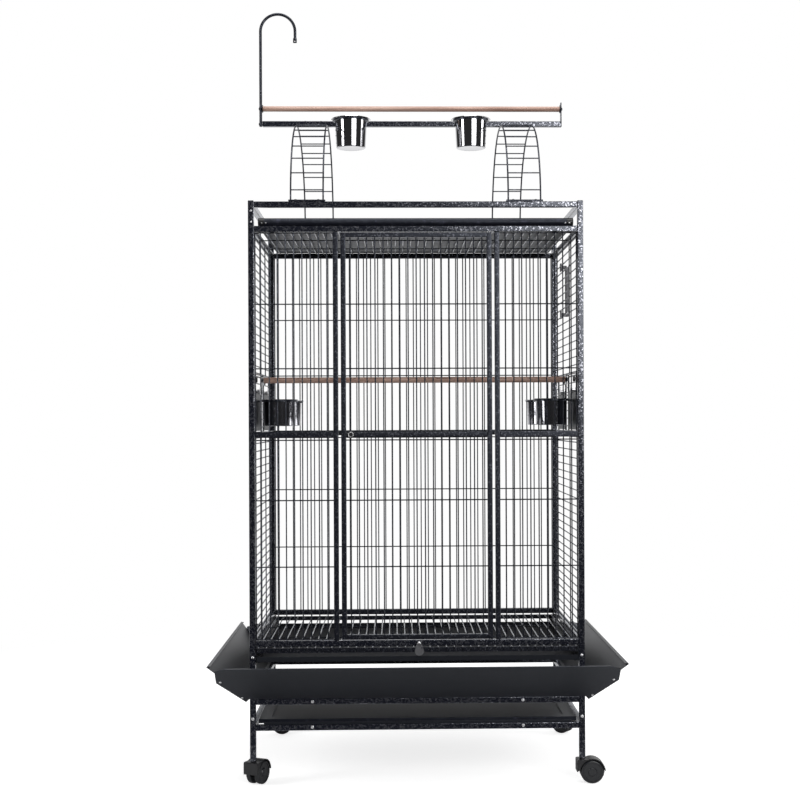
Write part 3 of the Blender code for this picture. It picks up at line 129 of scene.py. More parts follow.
def view_rays(tree):
    """The kinds of ray, and whether a ray comes from the camera, straight or through a hole."""
    rays = add_node(tree, "ShaderNodeLightPath").outputs
    return rays, maths(tree, "MAXIMUM", rays["Is Camera Ray"], rays["Is Transmission Ray"])


def new_material(name):
    """A material with its node tree and its Principled shader."""
    material = bpy.data.materials.new(name)
    material.use_nodes = True
    return material, material.node_tree, material.node_tree.nodes["Principled BSDF"]


# %% [markdown]
# The photograph's studio is white behind the cage and dark behind the camera, with tall soft lamps in
# the dark. That is why the steel cups show dark walls with upright white strips, and why the coat
# glitters at the right only: there the large key lamp is mirrored. The camera sees plain white, and
# glossy surfaces see white behind the cage. Both are colours and bring no light to the cage.

# %% Studio
SURROUND_LIGHT = 0.55
DARK_ROOM = 0.035
WALL_EDGE = (-0.15, 0.2)
CARD_EDGE = (0.6, 0.9)
LAMP_AIM = Vector((0, 0, 0.95))
LAMPS = {
    "key_lamp": ((1.75, -4.3, 2.1), (2.5, 2.2), 95),
    "left_lamp": ((-3.3, -1.7, 1.6), (1.0, 2.6), 48),
    "right_lamp": ((3.4, 0.0, 1.7), (1.0, 2.6), 30),
    "top_lamp": ((0.0, -0.9, 4.4), (2.6, 2.0), 95),
}
scene.view_settings.view_transform = "Standard"
scene.world = bpy.data.worlds.new("studio")
scene.world.use_nodes = True
tree = scene.world.node_tree
rays, seen = view_rays(tree)
facing = add_node(tree, "ShaderNodeTexCoord").outputs["Generated"]
depth = add_node(tree, "ShaderNodeSeparateXYZ", {0: facing}).outputs["Y"]
wide_wall = maths(tree, "MULTIPLY", faded(tree, depth, *WALL_EDGE), SURROUND_LIGHT)
soft_light = maths(tree, "MULTIPLY", wide_wall, maths(tree, "SUBTRACT", 1.0, rays["Is Glossy Ray"]))
white_card = maths(tree, "MULTIPLY", faded(tree, depth, *CARD_EDGE), rays["Is Glossy Ray"])
room_light = maths(tree, "MAXIMUM", maths(tree, "MAXIMUM", soft_light, white_card), DARK_ROOM)
strength = maths(tree, "MAXIMUM", room_light, seen)
feed(tree, tree.nodes["Background"], {"Color": (1, 1, 1, 1), "Strength": strength})
for name, (place, size, power) in LAMPS.items():
    aim = (LAMP_AIM - Vector(place)).to_track_quat("-Z", "Y").to_euler()
    bpy.ops.object.light_add(type="AREA", location=place, rotation=aim)
    lamp = bpy.context.object
    lamp.name = name
    lamp.data.shape = "RECTANGLE"
    lamp.data.size, lamp.data.size_y = size
    lamp.data.energy = power
print(len(LAMPS), "lamps")

# %% [markdown]
# The floor is a matt and pale sheet that ends a little in front of the cage, where the dark room
# begins. It keeps the cage's shadow. Plain white is added for the camera alone, and further out the
# floor melts wholly into the white behind it.

# %% Floor
FLOOR_COLOUR = 0.80
FLOOR_LIFT = 0.74
FLOOR_SIZE = 30
FLOOR_FRONT = -0.60
FLOOR_LEVEL = -0.0006
GLOSS_EDGE = (0.3, 1.5)
WHITE_EDGE = (1.0, 2.4)
floor_middle = (0, FLOOR_SIZE / 2 + FLOOR_FRONT, FLOOR_LEVEL)
bpy.ops.mesh.primitive_plane_add(size=FLOOR_SIZE, location=floor_middle)
bpy.ops.object.transform_apply(location=True, rotation=False, scale=False)
floor = bpy.context.object
floor.name = "studio_floor"
floor_paint, tree, matt = new_material("studio_floor")
paint_colour = (FLOOR_COLOUR, FLOOR_COLOUR, FLOOR_COLOUR, 1)
feed(tree, matt, {"Base Color": paint_colour, "Roughness": 0.9, "Specular IOR Level": 0.0})
rays, direct = view_rays(tree)
spot = add_node(tree, "ShaderNodeTexCoord").outputs["Object"]
depth = add_node(tree, "ShaderNodeSeparateXYZ", {0: spot}).outputs["Y"]
distance = add_node(tree, "ShaderNodeVectorMath", {0: spot}, operation="LENGTH").outputs["Value"]
glossy = maths(tree, "MULTIPLY", rays["Is Glossy Ray"], faded(tree, depth, *GLOSS_EDGE))
seen = maths(tree, "MAXIMUM", direct, glossy)
far = maths(tree, "MULTIPLY", seen, faded(tree, distance, *WHITE_EDGE))
lift = maths(tree, "MULTIPLY", rays["Is Camera Ray"], FLOOR_LIFT)
lift_light = add_node(tree, "ShaderNodeEmission", {"Strength": lift}).outputs[0]
near_floor = add_node(tree, "ShaderNodeAddShader", {0: matt.outputs[0], 1: lift_light}).outputs[0]
white = add_node(tree, "ShaderNodeEmission").outputs[0]
blend = add_node(tree, "ShaderNodeMixShader", {"Fac": far, 1: near_floor, 2: white}).outputs[0]
feed(tree, tree.nodes["Material Output"], {"Surface": blend})
floor.data.materials.append(floor_paint)
print("floor laid")

# %% [markdown]
# Every piece is made the same way: a primitive at its size and place, shaped in edit mode, with its
# place written into its mesh. These small helpers keep the selection clean between those steps.

# %% Selection and settling
def deselect():
    bpy.ops.object.select_all(action="DESELECT")


def choose(*pieces):
    """Selects these pieces alone and makes the last one active."""
    deselect()
    for piece in pieces:
        piece.select_set(True)
    bpy.context.view_layer.objects.active = pieces[-1]


def settle(piece):
    """Writes a piece's place, turn and size into its mesh."""
    choose(piece)
    bpy.ops.object.transform_apply(location=True, rotation=True, scale=True)
    return piece


def placed(piece, place=(0, 0, 0), turn=(0, 0, 0), size=1.0):
    """Moves, turns and sizes a piece, and settles it."""
    piece.location = place
    piece.rotation_euler = turn
    piece.scale = (size, size, size)
    return settle(piece)


def apply_modifier(piece, kind, **settings):
    """Adds a modifier with the given settings and applies it."""
    choose(piece)
    modifier = piece.modifiers.new(kind.lower(), kind)
    for key, value in settings.items():
        setattr(modifier, key, value)
    bpy.ops.object.modifier_apply(modifier=modifier.name)
    return piece


def cut(piece, cutter):
    """Takes the cutter's shape out of a piece."""
    apply_modifier(piece, "BOOLEAN", object=cutter, operation="DIFFERENCE", solver="EXACT")
    bpy.data.objects.remove(cutter)


def soften(piece, width, steps=2, angle=30):
    """Rounds every edge that is sharper than the angle."""
    limits = {"limit_method": "ANGLE", "angle_limit": radians(angle), "miter_outer": "MITER_ARC"}
    return apply_modifier(piece, "BEVEL", width=width, segments=steps, **limits)


def smooth(piece, angle=40):
    """Shades a piece round, while its flat faces stay flat next to their rounded edges."""
    choose(piece)
    bpy.ops.object.shade_smooth_by_angle(angle=radians(angle))
    return apply_modifier(piece, "WEIGHTED_NORMAL", keep_sharp=True)


def joined(*pieces):
    """Several pieces made one."""
    choose(*pieces)
    if len(pieces) > 1:
        bpy.ops.object.join()
    return bpy.context.object


def duplicate(piece):
    """A copy with its own mesh."""
    choose(piece)
    bpy.ops.object.duplicate(linked=False)
    return bpy.context.object


# %% [markdown]
# The cage is nearly all tube and wire. A tube is a cube drawn out to its size, with rolled corners.
# A wire is a thin cylinder with few sides, because the cage has hundreds of them.

# %% Tube, rod and turned piece
TUBE_CORNER = 0.0016
WIRE_RADIUS = 0.0015
WIRE_PITCH = 0.0197
X, Z = 0, 2


def tube(start, end, corner=TUBE_CORNER):
    """A square tube, or any block, between two opposite corners, with rounded edges."""
    start, end = Vector(start), Vector(end)
    deselect()
    bpy.ops.mesh.primitive_cube_add(size=1, location=(start + end) / 2)
    piece = bpy.context.object
    piece.scale = [abs(side) for side in end - start]
    settle(piece)
    return soften(piece, corner) if corner else piece


def rod(start, end, radius=WIRE_RADIUS, sides=8):
    """A straight round rod between two points."""
    start, end = Vector(start), Vector(end)
    reach, middle = end - start, (start + end) / 2
    turn = reach.to_track_quat("Z", "Y").to_euler()
    deselect()
    bpy.ops.mesh.primitive_cylinder_add(
        vertices=sides, radius=radius, depth=reach.length, location=middle, rotation=turn
    )
    return settle(bpy.context.object)


def edit(picked="SELECT"):
    """Opens the active piece in edit mode, in face mode, with all of it selected or none."""
    bpy.ops.object.mode_set(mode="EDIT")
    bpy.ops.mesh.select_mode(type="FACE")
    bpy.ops.mesh.select_all(action=picked)


def disc(sides, radius, place):
    """A filled circle with its face selected in edit mode, ready to be drawn out."""
    deselect()
    bpy.ops.mesh.primitive_circle_add(vertices=sides, radius=radius, fill_type="NGON", location=place)
    piece = settle(bpy.context.object)
    edit()
    return piece


def drawn(length):
    """Draws the selected face up by a length."""
    bpy.ops.mesh.extrude_region_move(TRANSFORM_OT_translate={"value": (0, 0, length)})


def closed():
    """Ends the edit of a drawn piece: its seams are merged and its normals face outward."""
    bpy.ops.mesh.select_all(action="SELECT")
    bpy.ops.mesh.remove_doubles(threshold=0.00002)
    bpy.ops.mesh.normals_make_consistent(inside=False)
    bpy.ops.object.mode_set(mode="OBJECT")


def turned(profile, sides=24, place=(0, 0, 0), turn=(0, 0, 0)):
    """A disc drawn up ring by ring through (radius, height) pairs, then put in place."""
    radius, height = profile[0]
    piece = disc(sides, radius, (0, 0, height))
    for following, level in profile[1:]:
        drawn(level - height)
        growth = following / radius
        bpy.ops.transform.resize(value=(growth, growth, 1), center_override=(0, 0, level))
        radius, height = following, level
    closed()
    return placed(piece, place, turn)


def ring(radius, inner, height, place):
    """A flat ring: an open cylinder that is thickened inwards. The place is the middle of its top."""
    deselect()
    middle = Vector(place) - Vector((0, 0, height / 2))
    bpy.ops.mesh.primitive_cylinder_add(
        vertices=32, radius=radius, depth=height, end_fill_type="NOTHING", location=middle
    )
    piece = settle(bpy.context.object)
    apply_modifier(piece, "SOLIDIFY", thickness=radius - inner, offset=-1)
    return soften(piece, 0.0004)


def arched(start, centre, radius, sides, steps, lead=0.0, tail=0.0):
    """A rod bent through a half circle about a centre, from a disc that is spun round it.

    The lead and the tail are straight lengths before and after the bend.
    """
    start, centre = Vector(start), Vector(centre)
    axis = (0, -1, 0) if abs(start.x - centre.x) > abs(start.y - centre.y) else (1, 0, 0)
    piece = disc(sides, radius, start - Vector((0, 0, lead)))
    if lead:
        drawn(lead)
    bpy.ops.mesh.spin(steps=steps, angle=pi, center=centre, axis=axis)
    if tail:
        drawn(-tail)
    closed()
    return piece


def refined(node, edge, angle=30):
    """A copy of a construction piece with its triangles cleaned up and its edges rounded."""
    piece = duplicate(frame["nodes"][node])
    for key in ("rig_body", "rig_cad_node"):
        if key in piece:
            del piece[key]
    piece.parent = None
    edit()
    bpy.ops.mesh.remove_doubles(threshold=0.00001)
    bpy.ops.mesh.dissolve_limited(angle_limit=radians(1))
    bpy.ops.object.mode_set(mode="OBJECT")
    piece.data.materials.clear()
    return soften(piece, edge, angle=angle)


def wire_row(start, end, axis, low, high, pitch=WIRE_PITCH):
    """Round wires centred between two edges along an axis: one is modelled, the others copied."""
    count = max(1, int(abs(high - low) / pitch + 1e-6))
    start, end, step = Vector(start), Vector(end), Vector()
    start[axis] = end[axis] = (low + high) / 2 - (count - 1) / 2 * pitch
    step[axis] = pitch
    offset = {"use_constant_offset": True, "constant_offset_displace": step}
    return apply_modifier(rod(start, end), "ARRAY", count=count, use_relative_offset=False, **offset)


print("helpers ready")


# %% [markdown]
# Every piece is dressed once it has its shape: its parts are joined and shaded, it gets a finish,
# rides on the body that carries it, and stands for the construction pieces that it shows.

# %% Dressing
def dressed(parts, name, finish, body, *nodes, angle=40, slot=None):
    """Joins the parts of a piece, gives it its looks and its body, and hides what it stands for."""
    piece = smooth(joined(*parts), angle)
    piece.name = name
    piece.data.name = name
    piece.data.materials.clear()
    piece.data.materials.append(finish)
    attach(piece, body)
    if nodes:
        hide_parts(*nodes)
    return piece


def shown(node, parts, finish, body="cage", **settings):
    """Dresses the piece that stands for one construction piece and is named after it."""
    return dressed(parts, f"{node}_piece", finish, body, node, **settings)


# %% [markdown]
# ## Finishes
# Hammertone is a dark powder coat with fine silver veins. It pulls back into small lumps as it
# cures, so the coat has soft dimples, and the silver gathers between them. One node group gives the
# vein mask and the height of the lumps, and the frame and the wires use it at their own scales.
# Most wires take a darker copy of the coat, with dimmer flake: that is painted shade. The roof and
# the grate wires keep the frame's coat, where they catch the light.

# %% Vein group
FLECK_SCALE = 0.75
FLECK_EDGE = 0.08
veins = bpy.data.node_groups.new("hammer_veins", "ShaderNodeTree")
for label, usual in (("Scale", 260.0), ("Amount", 0.5)):
    socket = veins.interface.new_socket(label, in_out="INPUT", socket_type="NodeSocketFloat")
    socket.default_value = usual
for label in ("Silver", "Height"):
    veins.interface.new_socket(label, in_out="OUTPUT", socket_type="NodeSocketFloat")
given = add_node(veins, "NodeGroupInput").outputs
spot = add_node(veins, "ShaderNodeTexCoord").outputs["Object"]
lump_values = {"Vector": spot, "Scale": given["Scale"], "Smoothness": 0.6}
lumps = add_node(veins, "ShaderNodeTexVoronoi", lump_values, feature="SMOOTH_F1").outputs["Distance"]
fleck_values = {
    "Vector": spot,
    "Scale": maths(veins, "MULTIPLY", given["Scale"], FLECK_SCALE),
    "Detail": 3.0,
    "Roughness": 0.65,
}
flecks = add_node(veins, "ShaderNodeTexNoise", fleck_values).outputs["Fac"]
low_edge = maths(veins, "MULTIPLY_ADD", given["Amount"], -0.45, 0.78)
high_edge = maths(veins, "ADD", low_edge, FLECK_EDGE)
edges = {"Value": flecks, "From Min": low_edge, "From Max": high_edge}
sharp_flecks = add_node(veins, "ShaderNodeMapRange", edges).outputs[0]
add_node(veins, "NodeGroupOutput", {"Silver": sharp_flecks, "Height": lumps})
print("vein group built")

# %% [markdown]
# The coat itself is dark and dull between the veins. The veins are bare metal flake, so they glitter
# where a lamp is mirrored and stay dark elsewhere. A thin clear coat lies over both.

# %% Coated finishes
def coated(name, dark, silver, roughness, scale, amount, height, clear):
    """A powder coat: a dark base, metal flake where the veins are, and a bump from the lumps."""
    finish, tree, shader = new_material(name)
    vein_values = {"Scale": scale, "Amount": amount}
    group = add_node(tree, "ShaderNodeGroup", vein_values, node_tree=veins).outputs
    colours = {"Factor": group["Silver"], "A": (*dark, 1), "B": (*silver, 1)}
    blend = add_node(tree, "ShaderNodeMix", colours, data_type="RGBA")
    bump_values = {"Strength": 0.6, "Distance": height, "Height": group["Height"]}
    looks = {
        "Base Color": blend.outputs["Result"],
        "Metallic": group["Silver"],
        "Normal": add_node(tree, "ShaderNodeBump", bump_values).outputs["Normal"],
        "Roughness": roughness,
        "Coat Weight": clear,
        "Coat Roughness": 0.12,
        "Specular Tint": (0.80, 0.86, 1.0, 1),
    }
    feed(tree, shader, looks)
    return finish


dark, silver = (0.009, 0.010, 0.0165), (0.31, 0.315, 0.35)
HAMMERTONE = coated("hammertone_tube", dark, silver, 0.20, 350, 0.54, 0.00014, 0.2)
# The wires' coat is the frame's coat with a darker base and dimmer flake: painted shade.
dark, silver = (0.006, 0.0065, 0.011), (0.14, 0.145, 0.17)
SHADED_WIRE_COAT = coated("hammertone_wire_painted_shade", dark, silver, 0.34, 300, 0.50, 0.0001, 0.05)
dark, silver = (0.006, 0.0065, 0.012), (0.06, 0.062, 0.085)
TRAY_COAT = coated("satin_tray", dark, silver, 0.46, 60, 0.45, 0.0016, 0.0)
dark, silver = (0.0065, 0.007, 0.0095), (0.035, 0.035, 0.045)
SATIN = coated("satin_sheet", dark, silver, 0.42, 500, 0.30, 0.0001, 0.0)
dark, silver = (0.004, 0.0045, 0.0065), (0.02, 0.02, 0.025)
MATT_BLACK = coated("matt_tray", dark, silver, 0.75, 500, 0.30, 0.0001, 0.0)
print("five coats ready")

# %% [markdown]
# The rest are plain finishes: moulded plastic, bright steel for fasteners, and polished steel for the
# cups, which mirror the white room and the dark bars round them. The feeder cups have a darker copy
# of the same steel, which is painted shade.

# %% Plain finishes
def plain(name, colour, roughness, metallic=0.0):
    """An even colour without any texture."""
    finish, tree, shader = new_material(name)
    feed(tree, shader, {"Base Color": (*colour, 1), "Roughness": roughness, "Metallic": metallic})
    return finish


BLACK_PLASTIC = plain("black_plastic", (0.012, 0.012, 0.014), 0.38)
WHEEL_PLASTIC = plain("wheel_plastic", (0.016, 0.017, 0.020), 0.30)
GREY_PLASTIC = plain("grey_plastic", (0.13, 0.13, 0.14), 0.45)
CUP_STEEL = plain("cup_steel", (0.58, 0.58, 0.60), 0.06, 1.0)
# The feeder cups are the same polished steel as the play cups, made darker: painted shade.
SHADED_CUP_STEEL = plain("feeder_cup_steel_painted_shade", (0.40, 0.40, 0.43), 0.08, 1.0)
BRIGHT_STEEL = plain("bright_steel", (0.86, 0.86, 0.88), 0.36, 1.0)
DARK_BOLT = plain("dark_bolt", (0.02, 0.02, 0.022), 0.3, 0.6)
print("plain finishes ready")

# %% [markdown]
# The perches are turned from a reddish hardwood and left bare. The grain runs along the perch, so the
# noise is stretched along X, and the same noise raises the grain a little.

# %% Wood
GRAIN_SCALE = (6, 120, 120)
TONES = ((0.30, (0.38, 0.22, 0.17, 1)), (0.70, (0.72, 0.50, 0.41, 1)))
WOOD, tree, shader = new_material("perch_wood")
spot = add_node(tree, "ShaderNodeTexCoord").outputs["Object"]
stretched = add_node(tree, "ShaderNodeMapping", {"Vector": spot, "Scale": GRAIN_SCALE}).outputs[0]
grain_values = {"Vector": stretched, "Scale": 1.0, "Detail": 5.0}
grain = add_node(tree, "ShaderNodeTexNoise", grain_values).outputs["Fac"]
tones = add_node(tree, "ShaderNodeValToRGB", {"Fac": grain})
for step, (position, colour) in zip(tones.color_ramp.elements, TONES):
    step.position = position
    step.color = colour
raised = add_node(tree, "ShaderNodeBump", {"Height": grain, "Strength": 0.3, "Distance": 0.0003})
feed(tree, shader, {"Base Color": tones.outputs["Color"], "Normal": raised.outputs["Normal"]})
feed(tree, shader, {"Roughness": 0.55})
print("wood ready")


# %% [markdown]
# ## Frame
# Each side of the cage is two posts, closed at the top, with short tubes welded between them. Every
# place comes from the construction piece that the tubes stand for.

# %% Side frames
SIDES = {"left": -1, "right": 1}
TUBE = 0.014
FIT = 0.0003
FEEDER_WIRE = 0.002
FEEDER_GAP = 0.0035
HEAD_GAP = 0.0043
PERCH_PLATE = 0.026


def box_of(node):
    """Lowest corner, highest corner and middle of a construction piece."""
    low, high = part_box(node)
    return Vector(low), Vector(high), (Vector(low) + Vector(high)) / 2


RAIL_LEVELS = []
for name in ("shelf_front_rail", "stand_front_rail", "sill_rail", "header_rail", "crown_front_rail"):
    low, high = box_of(name)[:2]
    RAIL_LEVELS.append((low.z, high.z))
SILL_TOP, HEADER_BASE = RAIL_LEVELS[2][1], RAIL_LEVELS[3][0]
MID_RAIL_TOP = box_of("left_front_feeder_door")[0].z - FIT
MID_RAIL = (MID_RAIL_TOP - TUBE, MID_RAIL_TOP)
FEEDER_HEAD = box_of("left_upper_grille")[0].z - HEAD_GAP


def side_frame(side, name):
    """One side of the cage: posts, short tubes, the feeder doors' surrounds and the perch plate."""
    low, high, middle = box_of(f"{name}_side_frame")
    inner, wire_x, head_z = high.y - TUBE, middle.x, FEEDER_HEAD + FEEDER_WIRE
    parts = []
    for y in (low.y, inner):
        parts.append(tube((low.x, y, low.z), (high.x, y + TUBE, high.z)))
    for base, top in RAIL_LEVELS + [MID_RAIL]:
        parts.append(tube((low.x, low.y + TUBE, base), (high.x, inner, top)))
    parts.append(rod((wire_x, -inner, head_z), (wire_x, inner, head_z), FEEDER_WIRE))
    gaps = [-inner]
    for end in ("front", "rear"):
        door_low, door_high = box_of(f"{name}_{end}_feeder_door")[:2]
        for y in (door_low.y - FEEDER_GAP, door_high.y + FEEDER_GAP):
            parts.append(rod((wire_x, y, MID_RAIL_TOP), (wire_x, y, head_z), FEEDER_WIRE))
            gaps.append(y)
    gaps.append(inner)
    for start, end in zip(gaps[0::2], gaps[1::2]):
        parts.append(wire_row((wire_x, start, 0), (wire_x, end, 0), Z, MID_RAIL_TOP, FEEDER_HEAD))
    perch_middle = box_of("inner_perch")[2]
    plate_middle = Vector((wire_x - side * 0.0027, perch_middle.y, perch_middle.z))
    reach = Vector((0.001, PERCH_PLATE / 2, PERCH_PLATE / 2))
    parts.append(tube(plate_middle - reach, plate_middle + reach, 0.0004))
    shown(f"{name}_side_frame", parts, HAMMERTONE)


for name, side in SIDES.items():
    side_frame(side, name)
print("rails at", [round(base, 3) for base, top in RAIL_LEVELS])

# %% [markdown]
# Eight tubes run across between the two sides, five of them at the front.

# %% Cross rails
CROSS_RAILS = (
    "crown_front", "crown_rear", "header", "sill",
    "stand_front", "stand_rear", "shelf_front", "shelf_rear",
)
for name in CROSS_RAILS:
    low, high = box_of(f"{name}_rail")[:2]
    shown(f"{name}_rail", [tube(low, high)], HAMMERTONE)
print("cross rails done")

# %% [markdown]
# ## Wire grilles
# A grille is a row of upright wires with a few cross wires behind them. One wire is modelled and an
# Array modifier makes the rest of the row, so every bar is round and evenly spaced.

# %% Front and rear grilles
CROSS_WIRE_LEVELS = (1.147, 0.993, 0.822, 0.678, 0.519)
STILE = 0.012
STRIP_CORNER = 0.0012
BAR_DEPTH = TUBE / 2 + 0.003
CROSS_DEPTH = 0.0033
WELD = 0.001


def bars(bar_y, behind, levels, ends):
    """Upright bars between two levels and two ends, and the level wires behind them."""
    (base, top), (start, end) = levels, ends
    parts = [wire_row((0, bar_y, base), (0, bar_y, top), X, start, end)]
    for z in CROSS_WIRE_LEVELS:
        parts.append(rod((start, bar_y + behind, z), (end, bar_y + behind, z)))
    return parts


def front_grille(side, name):
    low, high = box_of(f"{name}_front_grille")[:2]
    inner, outer = sorted((low.x, high.x), key=abs)
    stile_end = inner + side * STILE
    bar_y, edge_x = low.y + BAR_DEPTH, outer - side * WIRE_RADIUS
    strip_start = (stile_end, low.y, MID_RAIL[0])
    parts = [
        tube((inner, low.y, low.z), (stile_end, low.y + TUBE, high.z)),
        tube(strip_start, (outer, bar_y - WIRE_RADIUS, MID_RAIL[1]), STRIP_CORNER),
        rod((edge_x, bar_y, low.z), (edge_x, bar_y, high.z)),
    ]
    for z in (low.z + WIRE_RADIUS, high.z - WIRE_RADIUS):
        parts.append(rod((stile_end, bar_y, z), (outer, bar_y, z)))
    parts += bars(bar_y, CROSS_DEPTH, (low.z, high.z), (stile_end, outer))
    shown(f"{name}_front_grille", parts, SHADED_WIRE_COAT)


def rear_grille():
    low, high = box_of("rear_grille")[:2]
    bar_y = high.y - BAR_DEPTH
    parts = [
        tube((low.x, high.y - TUBE, low.z), (high.x, high.y, SILL_TOP)),
        tube((low.x, high.y - TUBE, HEADER_BASE), high),
        tube((low.x, bar_y + 0.0017, MID_RAIL[0]), (high.x, high.y, MID_RAIL[1]), STRIP_CORNER),
    ]
    for x in (low.x + WIRE_RADIUS, high.x - WIRE_RADIUS):
        parts.append(rod((x, bar_y, SILL_TOP), (x, bar_y, HEADER_BASE)))
    parts += bars(bar_y, -CROSS_DEPTH, (SILL_TOP - WELD, HEADER_BASE + WELD), (low.x, high.x))
    shown("rear_grille", parts, SHADED_WIRE_COAT)


for name, side in SIDES.items():
    front_grille(side, name)
rear_grille()
print("front and rear grilles done")

# %% [markdown]
# The side mats are turned the other way: their wires lie level on three upright supports. The roof is
# such a mat too, laid flat, with its wires running from the front to the back.

# %% Side and roof grilles
SIDE_SUPPORTS = (0.35, 0.61, 0.84)
ROOF_SUPPORTS = (0.36, 0.68)
EDGE = 0.003


def mat(node, finish, stack, wire_level, support_level, supports):
    """A mat with a border: wires along Y, stacked along an axis, and supports that cross them."""
    low, high = box_of(node)[:2]
    first, last = low[stack], high[stack]

    def point(level, y, place):
        return (level, y, place) if stack == Z else (place, y, level)

    parts = []
    for y in (low.y + WIRE_RADIUS, high.y - WIRE_RADIUS):
        parts.append(rod(point(wire_level, y, first), point(wire_level, y, last)))
    for place in (first + WIRE_RADIUS, last - WIRE_RADIUS):
        parts.append(rod(point(wire_level, low.y, place), point(wire_level, high.y, place)))
    start, end = point(wire_level, low.y + WELD, 0), point(wire_level, high.y - WELD, 0)
    parts.append(wire_row(start, end, stack, first + EDGE, last - EDGE))
    for share in supports:
        y = low.y + share * (high.y - low.y)
        parts.append(rod(point(support_level, y, first), point(support_level, y, last)))
    shown(node, parts, finish)


for name, side in SIDES.items():
    for node in (f"{name}_lower_grille", f"{name}_upper_grille"):
        low, high = box_of(node)[:2]
        inner, outer = sorted((low.x, high.x), key=abs)
        wire_x, support_x = outer - side * WIRE_RADIUS, inner + side * WIRE_RADIUS
        mat(node, SHADED_WIRE_COAT, Z, wire_x, support_x, SIDE_SUPPORTS)
low, high = box_of("roof_grille")[:2]
# The roof wires keep the brighter frame coat where they catch the light; the other wires have the
# darker copy, which is painted shade.
mat("roof_grille", HAMMERTONE, X, high.z - WIRE_RADIUS, low.z + WIRE_RADIUS, ROOF_SUPPORTS)
print("side mats and roof done")

# %% [markdown]
# ## Door
# The door is a welded frame of slimmer tube with its own bars. It turns on two pins, and a knob with a
# bright ring turns the tongue that keeps it shut.

# %% Door
def front_door():
    low, high = box_of("front_door")[:2]
    back = low.y + STILE
    inner_low, inner_high = low.x + STILE, high.x - STILE
    parts = []
    for x in (low.x, inner_high):
        parts.append(tube((x, low.y, low.z), (x + STILE, back, high.z)))
    for base in (low.z, MID_RAIL_TOP - TUBE / 2 - STILE / 2, high.z - STILE):
        parts.append(tube((inner_low, low.y, base), (inner_high, back, base + STILE)))
    bar_y = box_of("left_front_grille")[0].y + BAR_DEPTH
    levels = (low.z + STILE - WELD, high.z - STILE + WELD)
    parts += bars(bar_y, CROSS_DEPTH, levels, (inner_low, inner_high))
    shown("front_door", parts, SHADED_WIRE_COAT, "door")


front_door()
PIN_RADIUS = 0.0042
PIN_FLANGE = 0.0008
for node in ("lower_hinge_pin", "upper_hinge_pin"):
    low, high, middle = box_of(node)
    pin = rod((middle.x, middle.y, low.z), (middle.x, middle.y, high.z), PIN_RADIUS, 16)
    at, step = (high.z, -PIN_FLANGE) if node == "upper_hinge_pin" else (low.z, PIN_FLANGE)
    flange = rod((middle.x, middle.y, at), (middle.x, middle.y, at + step), STILE / 2, 16)
    shown(node, [pin, flange], BRIGHT_STEEL, slot="pin_steel")
print("door and pins done")

# %% Door knob
KNOB_RING = 0.0011


def door_knob():
    low, high = box_of("door_latch")[:2]
    z = MID_RAIL_TOP - TUBE / 2
    radius = (high.z - low.z) / 2
    x = low.x + radius
    thickness = box_of("front_door")[0].y - FIT - low.y
    profile = [
        (0.0004, 0), (radius * 0.55, 0), (radius * 0.62, 0.0008), (radius * 0.78, 0.0002),
        (radius * 0.94, 0.0012), (radius, 0.0026), (radius, thickness), (0.0025, thickness),
        (0.0025, high.y - low.y - 0.0004),
    ]
    knob = turned(profile, 28, (x, low.y, z), (-pi / 2, 0, 0))
    tongue = tube((x - 0.0045, high.y - 0.002, z - 0.0045), (high.x, high.y, z + 0.0045), 0.0007)
    dressed([knob, tongue], "door_knob", BLACK_PLASTIC, "latch", "door_latch", angle=50)
    deselect()
    middle, facing_front = (x, low.y + KNOB_RING, z), (pi / 2, 0, 0)
    bpy.ops.mesh.primitive_torus_add(
        major_radius=radius * 0.66, minor_radius=KNOB_RING, major_segments=32, minor_segments=10,
        location=middle, rotation=facing_front,
    )
    bright = settle(bpy.context.object)
    dressed([bright], "door_knob_ring", BRIGHT_STEEL, "latch", angle=60)


door_knob()
print("knob done")

# %% [markdown]
# ## Feeder doors and cups
# Each small side door is bent from thicker wire, and a black sheet behind its lower bars keeps the seed
# in. It carries a flat ring, and a steel cup hangs in the ring by its rim, so a cup lifts straight out.

# %% Feeder doors
FEEDERS = [f"{name}_{end}" for name in SIDES for end in ("front", "rear")]
FEEDER_PLANE = 0.393
CUP_INNER = 0.0398
RING_WIDTH = 0.004
RING_HEIGHT = 0.004
RIM_DROP = 0.0023
ARM_BASE, ARM_TOP = 0.0034, 0.0006
SHIELD_HEIGHT = 0.097
SHIELD_FOLD = 0.006
SHEET_EDGE = 0.0004
BUTTON = [
    (0.0005, 0), (0.0055, 0), (0.0068, 0.0007), (0.0072, 0.002), (0.0072, 0.0052), (0.0066, 0.0060)
]


